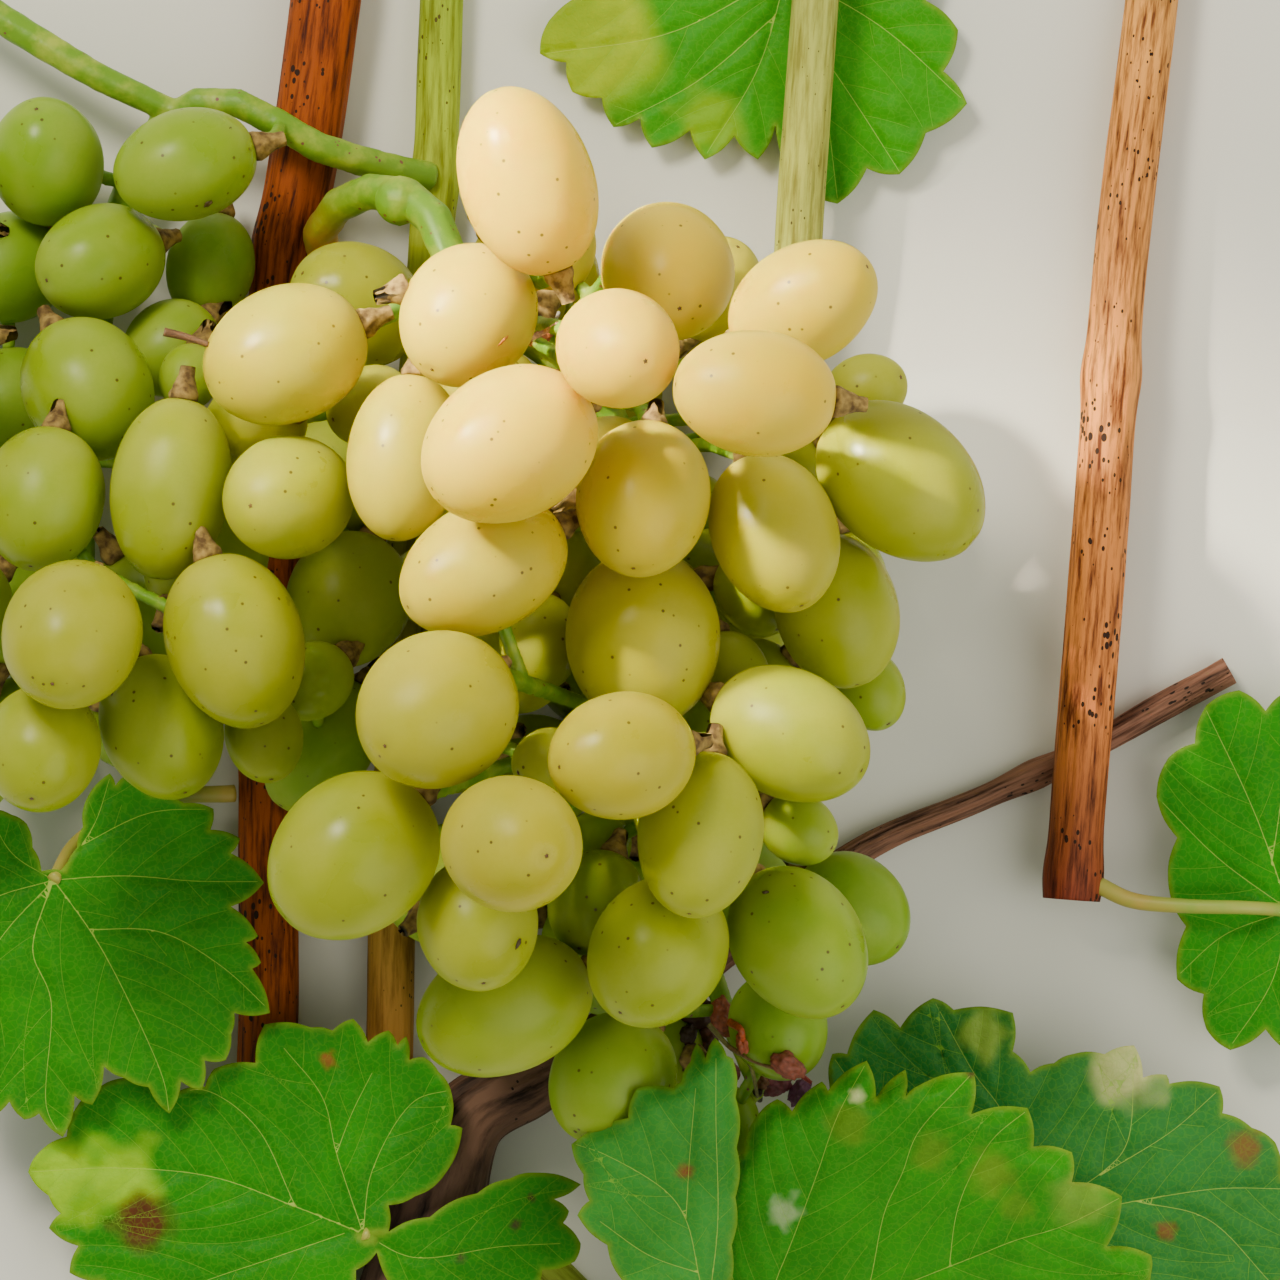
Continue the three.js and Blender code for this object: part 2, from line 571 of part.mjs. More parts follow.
// Each leaf: where its stalk meets the blade, how fast the blade climbs to the right and up the
// picture, how much it cups, how steeply it falls off on the left and on the right of its midrib,
// the tips of its main veins with the midrib first, the stalk's points on their way to the wood,
// and the edge as seen from above, anticlockwise.
const LEAVES = {
  leaf_left: {
    base: vec(-99, -40.5, 25.5),
    slope: [0.02, 0.03],
    cup: 0.06,
    fold: [0.03, 0.03],
    veins: [
      [-79.5, -80], [-97.5, -84], [-62.5, -63], [-63.5, -41], [-72, -28.5], [-86, -24], [-117, -74],
      [-123, -53.5], [-110, -28.5],
    ],
    stalk: [vec(-95, -34, 19), vec(-82, -27, 11), vec(-68.8, -26, 7)],
    edge: [
      [-101, -39], [-102.5, -35], [-103.5, -31], [-106, -29.5], [-110, -28.5], [-111.5, -33],
      [-116.5, -34.5], [-117, -40], [-121, -43.5], [-119, -50], [-123, -53.5], [-119.5, -60],
      [-122, -65], [-117, -68], [-117, -74], [-112, -74.5], [-110.5, -81], [-106.5, -78],
      [-104, -81], [-101.5, -80], [-97.5, -84], [-95.5, -77], [-92.5, -78.5], [-90.5, -72],
      [-87, -74], [-83, -75.5], [-79.5, -80], [-77.5, -74.5], [-74, -76], [-73.5, -71], [-70, -71],
      [-69, -66.5], [-68.5, -63], [-62.5, -63], [-65.5, -55.5], [-64, -54.5], [-66.5, -51],
      [-64.5, -50], [-69, -45], [-63.5, -41], [-69, -36], [-67.5, -33.5], [-72.5, -32],
      [-72, -28.5], [-77, -27.5], [-82.5, -26], [-87, -23], [-88.5, -24.5], [-89.5, -22.5],
      [-93.5, -27], [-94, -31.5], [-95, -35], [-97, -39],
    ],
  },
  leaf_low: {
    base: vec(-46.8, -100.3, 20),
    slope: [0.03, 0.02],
    cup: 0.05,
    fold: [0.02, 0.04],
    veins: [
      [-103.5, -90], [-78.5, -76.5], [-63.5, -65], [-46, -68], [-32, -76], [-10, -92], [-10, -102],
      [-31.5, -115], [-67.5, -119.5], [-95, -106],
    ],
    stalk: [vec(-43, -102, 16), vec(-40, -101, 12)],
    edge: [
      [-42.5, -95.5], [-38, -94], [-33.5, -91], [-30, -82.5], [-32, -82], [-32, -76], [-34, -73],
      [-36.5, -70.5], [-39, -71], [-39.5, -67], [-41, -68.5], [-42.5, -66], [-46, -68],
      [-48.5, -64], [-52, -66], [-55.5, -65.5], [-63.5, -65], [-65, -71.5], [-72, -72.5],
      [-73.5, -75.5], [-78.5, -76.5], [-83, -74.5], [-87, -74], [-92, -76], [-95, -78.5],
      [-97, -84], [-101.5, -86.5], [-103.5, -90], [-100, -94], [-98, -97], [-100, -99.5],
      [-95, -102.5], [-96.5, -107], [-91, -108.5], [-89, -113.5], [-83.5, -113], [-80, -117.5],
      [-73.5, -115], [-67.5, -119.5], [-61.5, -116.5], [-55, -120.5], [-50, -115], [-48, -106.5],
      [-44.5, -103.5], [-40, -111.5], [-31.5, -115], [-26.5, -111], [-18.5, -111.5],
      [-16.5, -106.5], [-11, -105], [-10, -102], [-13, -98.5], [-12, -96.5], [-14.5, -94.5],
      [-10, -92], [-18, -90], [-22, -91], [-27.5, -93.5], [-35.5, -97.5], [-42.5, -100],
    ],
  },
  leaf_folded: {
    base: vec(12, -117.5, 43),
    slope: [0, 0.5],
    cup: 0.04,
    fold: [0, 0.8],
    veins: [[13.6, -67.5], [9.5, -67.5], [-2, -80], [-11.5, -84.5], [-10.5, -96.5], [0, -115]],
    stalk: [vec(8, -119.5, 30), vec(5, -122, 16), vec(4, -123.5, 6.8)],
    edge: [
      [13, -119], [14.6, -110], [15.4, -101.5], [16, -93.5], [16.2, -85], [16, -76.5], [15.5, -70],
      [14.5, -69.5], [12.5, -66.5], [11, -70], [9.5, -67.5], [8.5, -70.5], [6.8, -74], [5.5, -75],
      [-0.5, -75], [-2, -80], [-11.5, -84.5], [-9.5, -89.5], [-8.5, -94], [-10.5, -96.5],
      [-5.5, -101.5], [-3, -107.5], [-5, -111.5], [0, -115], [1.5, -121], [8.5, -120.5],
    ],
  },
  leaf_right: {
    base: vec(19.5, -118.2, 32),
    slope: [0.03, 0.57],
    cup: 0.03,
    fold: [0, 0.02],
    veins: [
      [81, -93.5], [38, -70.5], [56, -72.5], [17.5, -86], [88.5, -119], [65, -131.5],
      [32.5, -131.5],
    ],
    stalk: [vec(20, -122, 24), vec(22, -128, 13), vec(23, -131, 6.6)],
    edge: [
      [86, -106.5], [86, -103.5], [78.5, -102], [81, -93.5], [72.5, -91], [72.5, -86], [66, -85],
      [65, -78.5], [55.5, -79.5], [56, -72.5], [47, -74.5], [44.5, -76.5], [44.5, -72], [39.5, -77],
      [38, -70.5], [31.5, -75.5], [30.5, -74], [25.5, -79], [23, -77], [19.5, -80], [17.5, -86],
      [15.5, -88], [14, -90], [13, -101], [12, -106.5], [10.5, -112.5], [11, -117.5], [13.5, -122],
      [17, -123], [19.5, -120.5], [22.5, -126.5], [26.5, -132], [32.5, -131.5], [38.5, -137],
      [47.5, -135], [58.5, -136], [65, -131.5], [77.5, -131], [77.5, -123.5], [88.5, -119],
      [83.5, -113.5],
    ],
  },
  leaf_far_right: {
    base: vec(61.7, -100, 15),
    slope: [0.02, 0.2],
    cup: 0.06,
    fold: [0.02, 0.02],
    veins: [
      [98, -75.5], [83.5, -68.5], [63, -63], [49.5, -60.5], [32.5, -70], [29, -103], [40, -117.5],
      [113.5, -93.5], [93, -125.5],
    ],
    stalk: [vec(63, -108, 9), vec(64, -122, 7.4), vec(63, -129, 5.8)],
    edge: [
      [110, -99], [113.5, -93.5], [108.5, -91], [107.5, -85], [103.5, -82.5], [98.5, -80],
      [98, -75.5], [89.5, -75], [89, -73.5], [85, -74], [83.5, -68.5], [78.5, -70], [73, -70],
      [70, -71.5], [66, -73], [63, -69.5], [63, -63], [53, -62.5], [49.5, -60.5], [44, -65.5],
      [39.5, -62.5], [35, -70], [32.5, -70], [32, -75], [34, -81.5], [27.5, -87.5], [31.5, -95],
      [29, -103], [35, -108.5], [40, -117.5], [48.5, -114], [55, -118.5], [60, -105], [63.5, -105],
      [68.5, -117.5], [75, -124], [83.5, -121], [93, -125.5], [98.5, -117.5], [106.5, -116],
      [107.5, -109.5], [115, -103.5],
    ],
  },
  leaf_top: {
    base: vec(25, 113.3, 3.2),
    slope: [0, 0],
    cup: -0.02,
    fold: [0, 0],
    veins: [
      [11, 81.5], [-8.5, 110], [-17, 99.5], [-4.5, 87], [33.5, 74], [44, 79], [55.5, 91], [50, 115],
    ],
    stalk: [vec(27, 112, 4.4), vec(29, 110, 6.9)],
    edge: [
      [20, 115], [10, 117], [0, 115], [-8.5, 110], [-15.5, 105], [-17, 99.5], [-12.5, 98],
      [-11.5, 93], [-6.5, 92], [-4.5, 87], [0, 88.5], [2, 83.5], [8.5, 86.5], [11, 81.5],
      [16, 85.5], [20, 81.5], [23, 87.5], [26.5, 77.5], [33.5, 74], [38.5, 80], [44, 79],
      [48.5, 86], [55.5, 91], [51.5, 96.5], [54, 103.5], [48.5, 108.5], [50, 115], [41.5, 118.5],
      [33.5, 117],
    ],
  },
  leaf_side: {
    base: vec(110, -45.8, 11),
    slope: [0.02, 0.02],
    cup: 0.06,
    fold: [0.03, 0.03],
    veins: [
      [96, -11], [110, -8.5], [87.5, -26.5], [91, -57.5], [100, -69.5], [117.5, -65],
      [127.5, -41.5], [121.5, -13.5],
    ],
    stalk: [vec(103, -45.3, 15), vec(92, -45, 14.5), vec(83, -44, 12), vec(77.6, -41.5, 10.8)],
    edge: [
      [122.5, -47.5], [127.5, -41.5], [123.5, -35], [127, -26.5], [120.5, -21.5], [121.5, -13.5],
      [114, -14], [110, -8.5], [106, -12], [101.5, -8.5], [96, -11], [94, -17.5], [89.5, -20],
      [87.5, -26.5], [91, -33.5], [89.5, -41.5], [92.5, -48.5], [91, -57.5], [95.5, -60], [96, -66],
      [100, -69.5], [106, -66], [111.5, -70.5], [117.5, -65], [125, -63.5], [123.5, -55],
    ],
  },
};

// How high a leaf's blade lies over a place.
function bladeHeight({ base, slope, cup, fold, veins }, x, y) {
  const [dx, dy] = [x - base.x, y - base.y];
  const [mx, my] = [veins[0][0] - base.x, veins[0][1] - base.y];
  const length = Math.hypot(mx, my);
  const across = (mx * dy - my * dx) / length;
  const fall = across > 0 ? fold[0] * across : -fold[1] * across;
  return base.z + slope[0] * dx + slope[1] * dy - fall - (cup * (dx * dx + dy * dy)) / length;
}

// A blade: a skin of even thickness over the edge, with points along the bowed veins to bend it at.
function bladeSolid(leaf) {
  const inner = leaf.veins.flatMap(([x, y]) => {
    const [dx, dy] = [x - leaf.base.x, y - leaf.base.y];
    return [0.35, 0.7].map((share) => {
      const bow = 0.05 * share * (1 - share);
      return [leaf.base.x + dx * share - dy * bow, leaf.base.y + dy * share + dx * bow];
    });
  });
  const spots = [...leaf.edge, [leaf.base.x, leaf.base.y], ...inner].map(([x, y]) => new THREE.Vector2(x, y));
  const rim = leaf.edge.length;
  const upper = THREE.ShapeUtils.triangulateShape(
    spots.slice(0, rim),
    spots.slice(rim).map((spot) => [spot]),
  );
  const count = spots.length;
  const faces = [...upper, ...upper.map(([a, b, c]) => [a + count, c + count, b + count])];
  for (let i = 0; i < rim; i++) {
    const next = (i + 1) % rim;
    faces.push([i, i + count, next + count], [i, next + count, next]);
  }
  const points = [1, -1].flatMap((side) =>
    spots.map(({ x, y }) => vec(x, y, bladeHeight(leaf, x, y) + (side * BLADE_THICKNESS) / 2)),
  );
  const geometry = new THREE.BufferGeometry().setFromPoints(points);
  geometry.setIndex(faces.flat());
  return solidOf(geometry);
}

function leafSolid(leaf) {
  const stalk = {
    route: [leaf.base, ...leaf.stalk],
    radii: [PETIOLE_RADIUS, PETIOLE_RADIUS * 1.25],
    sides: 6,
    steps: 6,
  };
  return joined([bladeSolid(leaf), limb(stalk)]);
}

// The stems inside a cluster of berries: each berry's runs to the nearest one already joined that
// it can reach.
function stemsWithin(members, everything) {
  const stems = [];
  const joinedUp = [members[0]];
  const waiting = members.slice(1);
  while (waiting.length) {
    const pairs = waiting
      .flatMap((berry) => joinedUp.map((other) => ({ berry, other, air: airBetween(berry, other) })))
      .sort((a, b) => a.air - b.air);
    let found = null;
    for (const { berry, other } of pairs) {
      const others = everything.filter((body) => body !== berry && body !== other);
      const route = clearWay(berry.centre, other.centre, PEDICEL_RADIUS, others);
      if (route) {
        found = { berry, route };
        break;
      }
    }
    if (!found) break;
    const radii = [PEDICEL_RADIUS, PEDICEL_RADIUS];
    stems.push({ route: found.route, radii, sides: 4, steps: found.route.length === 2 ? 1 : 4 });
    joinedUp.push(found.berry);
    waiting.splice(waiting.indexOf(found.berry), 1);
  }
  return { stems, berries: joinedUp };
}

// The bunches take shape round the wood and the bunch stems: the berries that show first, each
// bunch from its back to its front and the main bunch over the left one, then those behind them.
const MAIN_DOME = { x: -6, y: 2, wide: 62, high: 92, rim: 26, rise: 70 };
const LEFT_DOME = { x: -92, y: 30, wide: 50, high: 66, rim: 8, rise: 22 };
const woodBalls = Object.values(WOOD).flatMap(ballsAlong);
const mainStemBalls = ballsAlong(BUNCH_STEM.main);
const leftStemBalls = ballsAlong(BUNCH_STEM.left);
const placed = [...woodBalls, ...mainStemBalls, ...leftStemBalls];
const on = (dome, rows) => rows.map((row) => ({ row, dome }));
const showing = settle(
  [
    ...on(MAIN_DOME, MAIN_BACK),
    ...on(LEFT_DOME, LEFT_BACK),
    ...on(LEFT_DOME, LEFT_FRONT),
    ...on(MAIN_DOME, MAIN_FRONT),
  ],
  placed,
);
placed.push(...showing);
const inRows = (rows) => showing.filter((berry) => rows.some(([name]) => name === berry.name));
const mainPedicels = pedicelsOf(inRows(MAIN_FRONT), mainStemBalls, placed);
const leftPedicels = pedicelsOf(inRows(LEFT_FRONT), leftStemBalls, placed);
const mainStems = [...mainStemBalls, ...mainPedicels.flatMap(ballsAlong)];
const leftStems = [...leftStemBalls, ...leftPedicels.flatMap(ballsAlong)];
placed.push(...mainStems, ...leftStems);
const MAIN_BACK_AREA = { tag: "m", centre: vec(-6, -2, 0), size: vec(62, 88, 0) };
const LEFT_BACK_AREA = { tag: "l", centre: vec(-96, 28, 0), size: vec(46, 64, 0) };
const hidden = [
  { ...MAIN_BACK_AREA, kind: LARGE_HIDDEN, shift: 0, seed: 7 },
  { ...MAIN_BACK_AREA, kind: LARGE_HIDDEN, shift: 0.5, seed: 8 },
  { ...LEFT_BACK_AREA, kind: LARGE_HIDDEN, shift: 0, seed: 19 },
  { ...LEFT_BACK_AREA, kind: LARGE_HIDDEN, shift: 0.5, seed: 20 },
  { ...MAIN_BACK_AREA, kind: SMALL_HIDDEN, shift: 0, seed: 31 },
  { ...MAIN_BACK_AREA, kind: SMALL_HIDDEN, shift: 0.5, seed: 32 },
  { ...LEFT_BACK_AREA, kind: SMALL_HIDDEN, shift: 0, seed: 33 },
].flatMap((layer) => {
  const found = fillBack(layer, showing, placed);
  placed.push(...found);
  return found;
});
const faceted = (berries, facets) => berries.map((berry) => Object.assign(berry, { facets }));
const hiddenOf = (tag) => faceted(hidden.filter(({ name }) => name.startsWith(tag)), HIDDEN_FACETS);
const mainFused = [...hiddenOf("m"), ...faceted(inRows(MAIN_BACK), BACK_FACETS)];
const leftFused = [...hiddenOf("l"), ...faceted(inRows(LEFT_BACK), BACK_FACETS)];
const mainSingle = faceted(inRows(MAIN_FRONT), SINGLE_FACETS);
const leftSingle = faceted(inRows(LEFT_FRONT), SINGLE_FACETS);

// Which back berries hold together as one cluster, by how far up the bunch they are.
const CLUSTERS = [
  ["shoulder_cluster", mainFused, mainStems, 34, 200],
  ["upper_cluster", mainFused, mainStems, -2, 34],
  ["lower_cluster", mainFused, mainStems, -38, -2],
  ["tip_cluster", mainFused, mainStems, -200, -38],
  ["left_upper_cluster", leftFused, leftStems, 34, 200],
  ["left_lower_cluster", leftFused, leftStems, -200, 34],
];

const group = new THREE.Group();

const singles = [...mainSingle, ...leftSingle];
const berriesGrown = joined(
  [...singles, ...mainFused, ...leftFused].map((berry) => berrySolid(berry, KEEP_CLEAR)),
);

// The wood. The canes and the low shoot stand off the old wood.
const oldWoodGrown = limb(WOOD.old_wood, GAP);
for (const [name, wood] of Object.entries(WOOD)) {
  const isOld = name === "old_wood";
  const skin = isOld ? OLD_BARK : name === "low_shoot" ? GREEN_STEM : CANE_BARK;
  const solid = isOld ? limb(wood) : limb(wood).subtract(oldWoodGrown);
  group.add(meshOf(name, largestPiece(solid), skin));
}
const woodGrown = joined(Object.values(WOOD).map((wood) => limb(wood, GAP)));

// The clusters of berries at the back, each with its stems.
const clusters = CLUSTERS.map(([name, fused, bunchStems, from, to]) => {
  const members = fused.filter(({ centre }) => centre.y >= from && centre.y < to);
  const cluster = { name, bunchStems, ...stemsWithin(members, placed) };
  placed.push(...cluster.stems.flatMap(ballsAlong));
  return cluster;
});
for (const { name, stems, berries } of clusters) {
  const solids = [...berries.map((berry) => berrySolid(berry)), ...stems.map((stem) => limb(stem))];
  group.add(meshOf(name, joined(solids), GREEN_SKIN));
}

// The bunch stems, each with the stems of its single berries and its clusters' side stems.
const SIDE_SHOOT = {
  route: [vec(-79, 89.4, 14.5), vec(-92, 95.5, 15), vec(-107, 104.5, 14), vec(-117, 111, 12)],
  radii: [2.1, 2.5, 2.7],
  sides: 6,
  steps: 8,
};
for (const [name, main, pedicels, bunchStems] of [
  ["main_bunch_stem", [BUNCH_STEM.main], mainPedicels, mainStems],
  ["left_bunch_stem", [BUNCH_STEM.left, SIDE_SHOOT], leftPedicels, leftStems],
]) {
  const sideStems = clusters
    .filter((cluster) => cluster.bunchStems === bunchStems)
    .map((cluster) => sideStem(cluster.berries, bunchStems, placed))
    .filter((stem) => stem);
  placed.push(...sideStems.flatMap(ballsAlong));
  const whole = joined([...main, ...pedicels, ...sideStems].map((stem) => limb(stem)));
  group.add(meshOf(name, largestPiece(whole.subtract(berriesGrown).subtract(woodGrown)), GREEN_STEM));
}
const stemsGrown = joined([limb(BUNCH_STEM.main, GAP), limb(BUNCH_STEM.left, GAP)]);

// The single berries.
for (const berry of singles) {
  const skin = berry.centre.y > 25 && berry.name.startsWith("m") ? RIPE_SKIN : PALE_SKIN;
  group.add(meshOf("berry_" + berry.name, berrySolid(berry), skin));
}

// The leaves, clear of the wood, the stems and the berries.
for (const [name, leaf] of Object.entries(LEAVES)) {
  const blade = leafSolid(leaf).subtract(woodGrown).subtract(stemsGrown).subtract(berriesGrown);
  group.add(meshOf(name, largestPiece(blade), BLADE_GREEN));
}

// The origin: the middle of the box's bottom.
const box = new THREE.Box3().setFromObject(group);
const middle = box.getCenter(vec(0, 0, 0));
for (const mesh of group.children) mesh.geometry.translate(-middle.x, -middle.y, -box.min.z);

export default group;
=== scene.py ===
# %% [markdown]
# # A cut piece of grapevine, lying on its back
#
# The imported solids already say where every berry, cane and leaf is. This lesson dresses them: it
# reads the berries' places off the solids, grows smooth skins, bark and veined blades over them,
# and gives each surface the finish of the real thing. Lengths are written in millimetres and
# turned to Blender's metres by one factor.

import math
import random

import bmesh
import bpy
import numpy as np
from mathutils import Matrix, Vector, geometry, noise
from mathutils.bvhtree import BVHTree
from mathutils.kdtree import KDTree


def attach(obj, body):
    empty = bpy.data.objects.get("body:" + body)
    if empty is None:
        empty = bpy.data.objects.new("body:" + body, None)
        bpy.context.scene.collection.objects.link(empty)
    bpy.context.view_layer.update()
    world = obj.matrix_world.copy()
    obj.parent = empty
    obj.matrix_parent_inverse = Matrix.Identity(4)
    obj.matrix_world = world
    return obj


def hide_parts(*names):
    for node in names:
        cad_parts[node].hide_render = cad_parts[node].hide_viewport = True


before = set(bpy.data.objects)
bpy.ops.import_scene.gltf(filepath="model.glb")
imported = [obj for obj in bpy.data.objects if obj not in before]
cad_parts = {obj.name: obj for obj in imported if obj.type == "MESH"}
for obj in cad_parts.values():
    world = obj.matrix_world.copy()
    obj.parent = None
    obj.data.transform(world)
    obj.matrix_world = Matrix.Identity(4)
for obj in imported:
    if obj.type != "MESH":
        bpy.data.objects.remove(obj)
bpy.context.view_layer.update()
MM = 0.001
MIDDLE = Vector((10.81, 9.25, 0.1))  # the middle of the picture, in the frame, in millimetres
print("nodes in the frame:", len(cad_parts))


def spot(x, y, z=0.0):
    """A point given from the middle of the picture in millimetres, in the frame's metres."""
    return (Vector((x, y, z)) + MIDDLE) * MM


# %% [markdown]
# ## Colours and shader nodes
#
# Colours are easiest to judge as sRGB hex values, which is how a swatch is read off a screen, but
# shaders count in linear light, so one function turns one to the other. Another adds a shader node
# with its settings and its links. A few short ones stand for what every finish here needs: a noise,
# a mapped range, a mix of colours, specks and a relief.

# %% Helpers for colours and shader nodes
def colour(code):
    """Linear red, green, blue and alpha of an sRGB hex value such as 0xE3C75C."""
    parts = [((code >> shift) & 255) / 255 for shift in (16, 8, 0)]
    return (*[part / 12.92 if part < 0.04045 else ((part + 0.055) / 1.055) ** 2.4 for part in parts], 1.0)


def add(tree, kind, inputs=None, stops=(), **settings):
    """A shader node: its own settings, its inputs set or linked, and a ramp's stops."""
    made = tree.nodes.new("ShaderNode" + kind)
    for name, value in settings.items():
        setattr(made, name, value)
    for key, value in (inputs or {}).items():
        if isinstance(value, bpy.types.NodeSocket):
            tree.links.new(value, made.inputs[key])
        else:
            made.inputs[key].default_value = value
    for number, (place, code) in enumerate(stops):
        made.color_ramp.elements[number].position = place
        made.color_ramp.elements[number].color = colour(code)
    return made


def place_of(tree):
    """The place on the piece of the point that is shaded."""
    return add(tree, "TexCoord").outputs["Object"]


def painted(tree, layer):
    """The colour that a layer of the mesh holds at the point that is shaded."""
    return add(tree, "Attribute", attribute_name=layer).outputs["Color"]


def cloudy(tree, place, size, detail=2.0, roughness=0.5):
    """A noise from 0 to 1 with patches of about the given size."""
    inputs = {"Vector": place, "Scale": 1 / size, "Detail": detail, "Roughness": roughness}
    return add(tree, "TexNoise", inputs).outputs["Fac"]


def ranged(tree, value, low, high, least, most, way="LINEAR"):
    """A value between low and high, mapped to one between least and most."""
    inputs = {0: value, 1: low, 2: high, 3: least, 4: most}
    return add(tree, "MapRange", inputs, interpolation_type=way).outputs[0]


def mixed(tree, share, first, second, way="MIX"):
    """Two colours mixed by the second one's share; the second can be given as its sRGB code."""
    second = colour(second) if isinstance(second, int) else second
    return add(tree, "Mix", {0: share, 6: first, 7: second}, data_type="RGBA", blend_type=way).outputs[2]


def specked(tree, base, code, place, spacing, radius):
    """A colour with round specks of another, whose radius is a share of their spacing."""
    cells = add(tree, "TexVoronoi", {"Vector": place, "Scale": 1 / spacing}).outputs["Distance"]
    near = add(tree, "Math", {0: cells, 1: radius}, operation="LESS_THAN").outputs[0]
    return mixed(tree, near, base, code)


def bumped(tree, height, strength, depth):
    """The normals of a surface with a fine relief."""
    return add(tree, "Bump", {"Height": height, "Strength": strength, "Distance": depth}).outputs[0]


# %% [markdown]
# ## Materials and finished pieces
#
# A material starts empty and ends in a surface. One function turns a bmesh into a finished piece:
# an object at the origin whose place is in its mesh, which rides on the frame's only body.

# %% Helpers for materials and pieces
def new_material(name):
    """An empty material and its node tree."""
    made = bpy.data.materials.new(name)
    made.use_nodes = True
    made.node_tree.nodes.clear()
    return made, made.node_tree


def finish_material(tree, base, roughness, normal=None, pulp=(), rest=()):
    """Ends a material in its surface; pulp is the weight, radius and scale of the light inside it."""
    inputs = {"Base Color": base, "Roughness": roughness, **dict(rest)}
    inputs.update(zip(("Subsurface Weight", "Subsurface Radius", "Subsurface Scale"), pulp))
    if normal is not None:
        inputs["Normal"] = normal
    surface = add(tree, "BsdfPrincipled", inputs)
    add(tree, "OutputMaterial", {"Surface": surface.outputs["BSDF"]})


def plain(name, code, roughness):
    """A material of one tone."""
    made, tree = new_material(name)
    finish_material(tree, colour(code), roughness)
    return made


def put(name, data):
    """A new object in the scene, made of its data or of a bmesh, which becomes a mesh first."""
    if isinstance(data, bmesh.types.BMesh):
        bm, data = data, bpy.data.meshes.new(name)
        bm.to_mesh(data)
        bm.free()
    made = bpy.data.objects.new(name, data)
    bpy.context.scene.collection.objects.link(made)
    return made


def finished(bm, name, materials, nodes=()):
    """Makes a bmesh a finished piece, which stands for the nodes of the frame that it replaces."""
    piece = put(name, bm)
    for material in materials:
        piece.data.materials.append(material)
    piece.data.polygons.foreach_set("use_smooth", [True] * len(piece.data.polygons))
    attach(piece, "root")
    if nodes:
        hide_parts(*nodes)


# %% [markdown]
# ## Where the berries are
#
# A cluster is one solid: faceted berries joined by thin stems. A berry bulges outwards
# everywhere, so the only edges that fold inwards are those where a stem runs into it. Cutting the
# mesh at those edges leaves one patch for each berry. The points of a patch lie on the berry's
# true surface, and a least-squares ellipsoid through them gives its middle, its axis and its two
# sizes. That is far less to write than a second list of berries, and it can't drift from the
# solids.

# %% Patches of a solid that bulge outwards
BERRY_LEAST = 9 * MM  # a patch smaller than this is a piece of stem


def merged(node):
    """A bmesh copy of a node, with the doubles of its loose triangles merged."""
    bm = bmesh.new()
    bm.from_mesh(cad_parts[node].data)
    bmesh.ops.remove_doubles(bm, verts=bm.verts, dist=0.004 * MM)
    bm.normal_update()
    return bm


def patches(bm, joins):
    """The faces of a bmesh in groups that hang together over the edges that joins allows."""
    waiting = dict.fromkeys(bm.faces)  # a dict, because a set's order can change from run to run
    while waiting:
        group = [waiting.popitem()[0]]
        for face in group:
            for edge in face.edges:
                if len(edge.link_faces) == 2 and joins(edge):
                    fresh = [other for other in edge.link_faces if other in waiting]
                    for other in fresh:
                        del waiting[other]
                    group.extend(fresh)
        yield group


def bulges(edge):
    """Whether the faces at an edge are level or fold outwards."""
    return edge.calc_face_angle_signed(0) > math.radians(-0.5)


# %% A berry from the points of its skin
def fitted(points):
    """Middle, axis towards the blossom end, half length and half width of a berry."""
    middle = points.mean(axis=0)
    x, y, z = ((points - middle) / (10 * MM)).T
    terms = np.stack([x * x, y * y, z * z, 2 * x * y, 2 * x * z, 2 * y * z, x, y, z], axis=1)
    found = np.linalg.lstsq(terms, np.ones(len(terms)), rcond=None)[0]
    a, b, c, d, e, f = found[:6]
    form = np.array([[a, d, e], [d, b, f], [e, f, c]])
    centre = -0.5 * np.linalg.solve(form, found[6:])
    level = 1 + centre @ form @ centre
    values, axes = np.linalg.eigh(form / level)
    sizes = 1 / np.sqrt(np.abs(values)) * 10 * MM
    axis = axes[:, 0]
    centre = middle + centre * 10 * MM
    long, wide = sizes[0], (sizes[1] + sizes[2]) / 2
    along = (points - centre) @ axis / long
    aside = np.linalg.norm(points - centre - np.outer(along * long, axis), axis=1)
    girth = aside / np.sqrt(np.clip(1 - along**2, 0.05, None))
    belt = (np.abs(along) > 0.2) & (np.abs(along) < 0.75)
    if girth[belt & (along > 0)].mean() > girth[belt & (along < 0)].mean():
        axis = -axis
    return Vector(centre), Vector(axis), float(long), float(wide)


def berries_of(node):
    """The berries of a node, and a bmesh of what is left of it: its stems, with their ends closed."""
    bm = merged(node)
    found, skins = [], []
    for patch in patches(bm, bulges):
        corners = dict.fromkeys(vert for face in patch for vert in face.verts)
        spread = np.array([vert.co for vert in corners])
        if np.ptp(spread, axis=0).min() < BERRY_LEAST:
            continue
        clean = [vert.co for vert in corners if all(bulges(edge) for edge in vert.link_edges)]
        found.append(fitted(np.array(clean)))
        skins.extend(patch)
    bmesh.ops.delete(bm, geom=skins, context="FACES")
    bmesh.ops.holes_fill(bm, edges=[edge for edge in bm.edges if edge.is_boundary], sides=0)
    return found, bm


single_nodes = sorted(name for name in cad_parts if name.startswith("berry_"))
cluster_nodes = sorted(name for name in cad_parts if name.endswith("_cluster"))
singles = {name: berries_of(name)[0][0] for name in single_nodes}
clusters = {name: berries_of(name) for name in cluster_nodes}
for name, (berries, stems) in clusters.items():
    sizes = [round(2 * berry[2] / MM, 1) for berry in berries]
    print(name, "berries", len(berries), "from", min(sizes), "to", max(sizes), "mm")


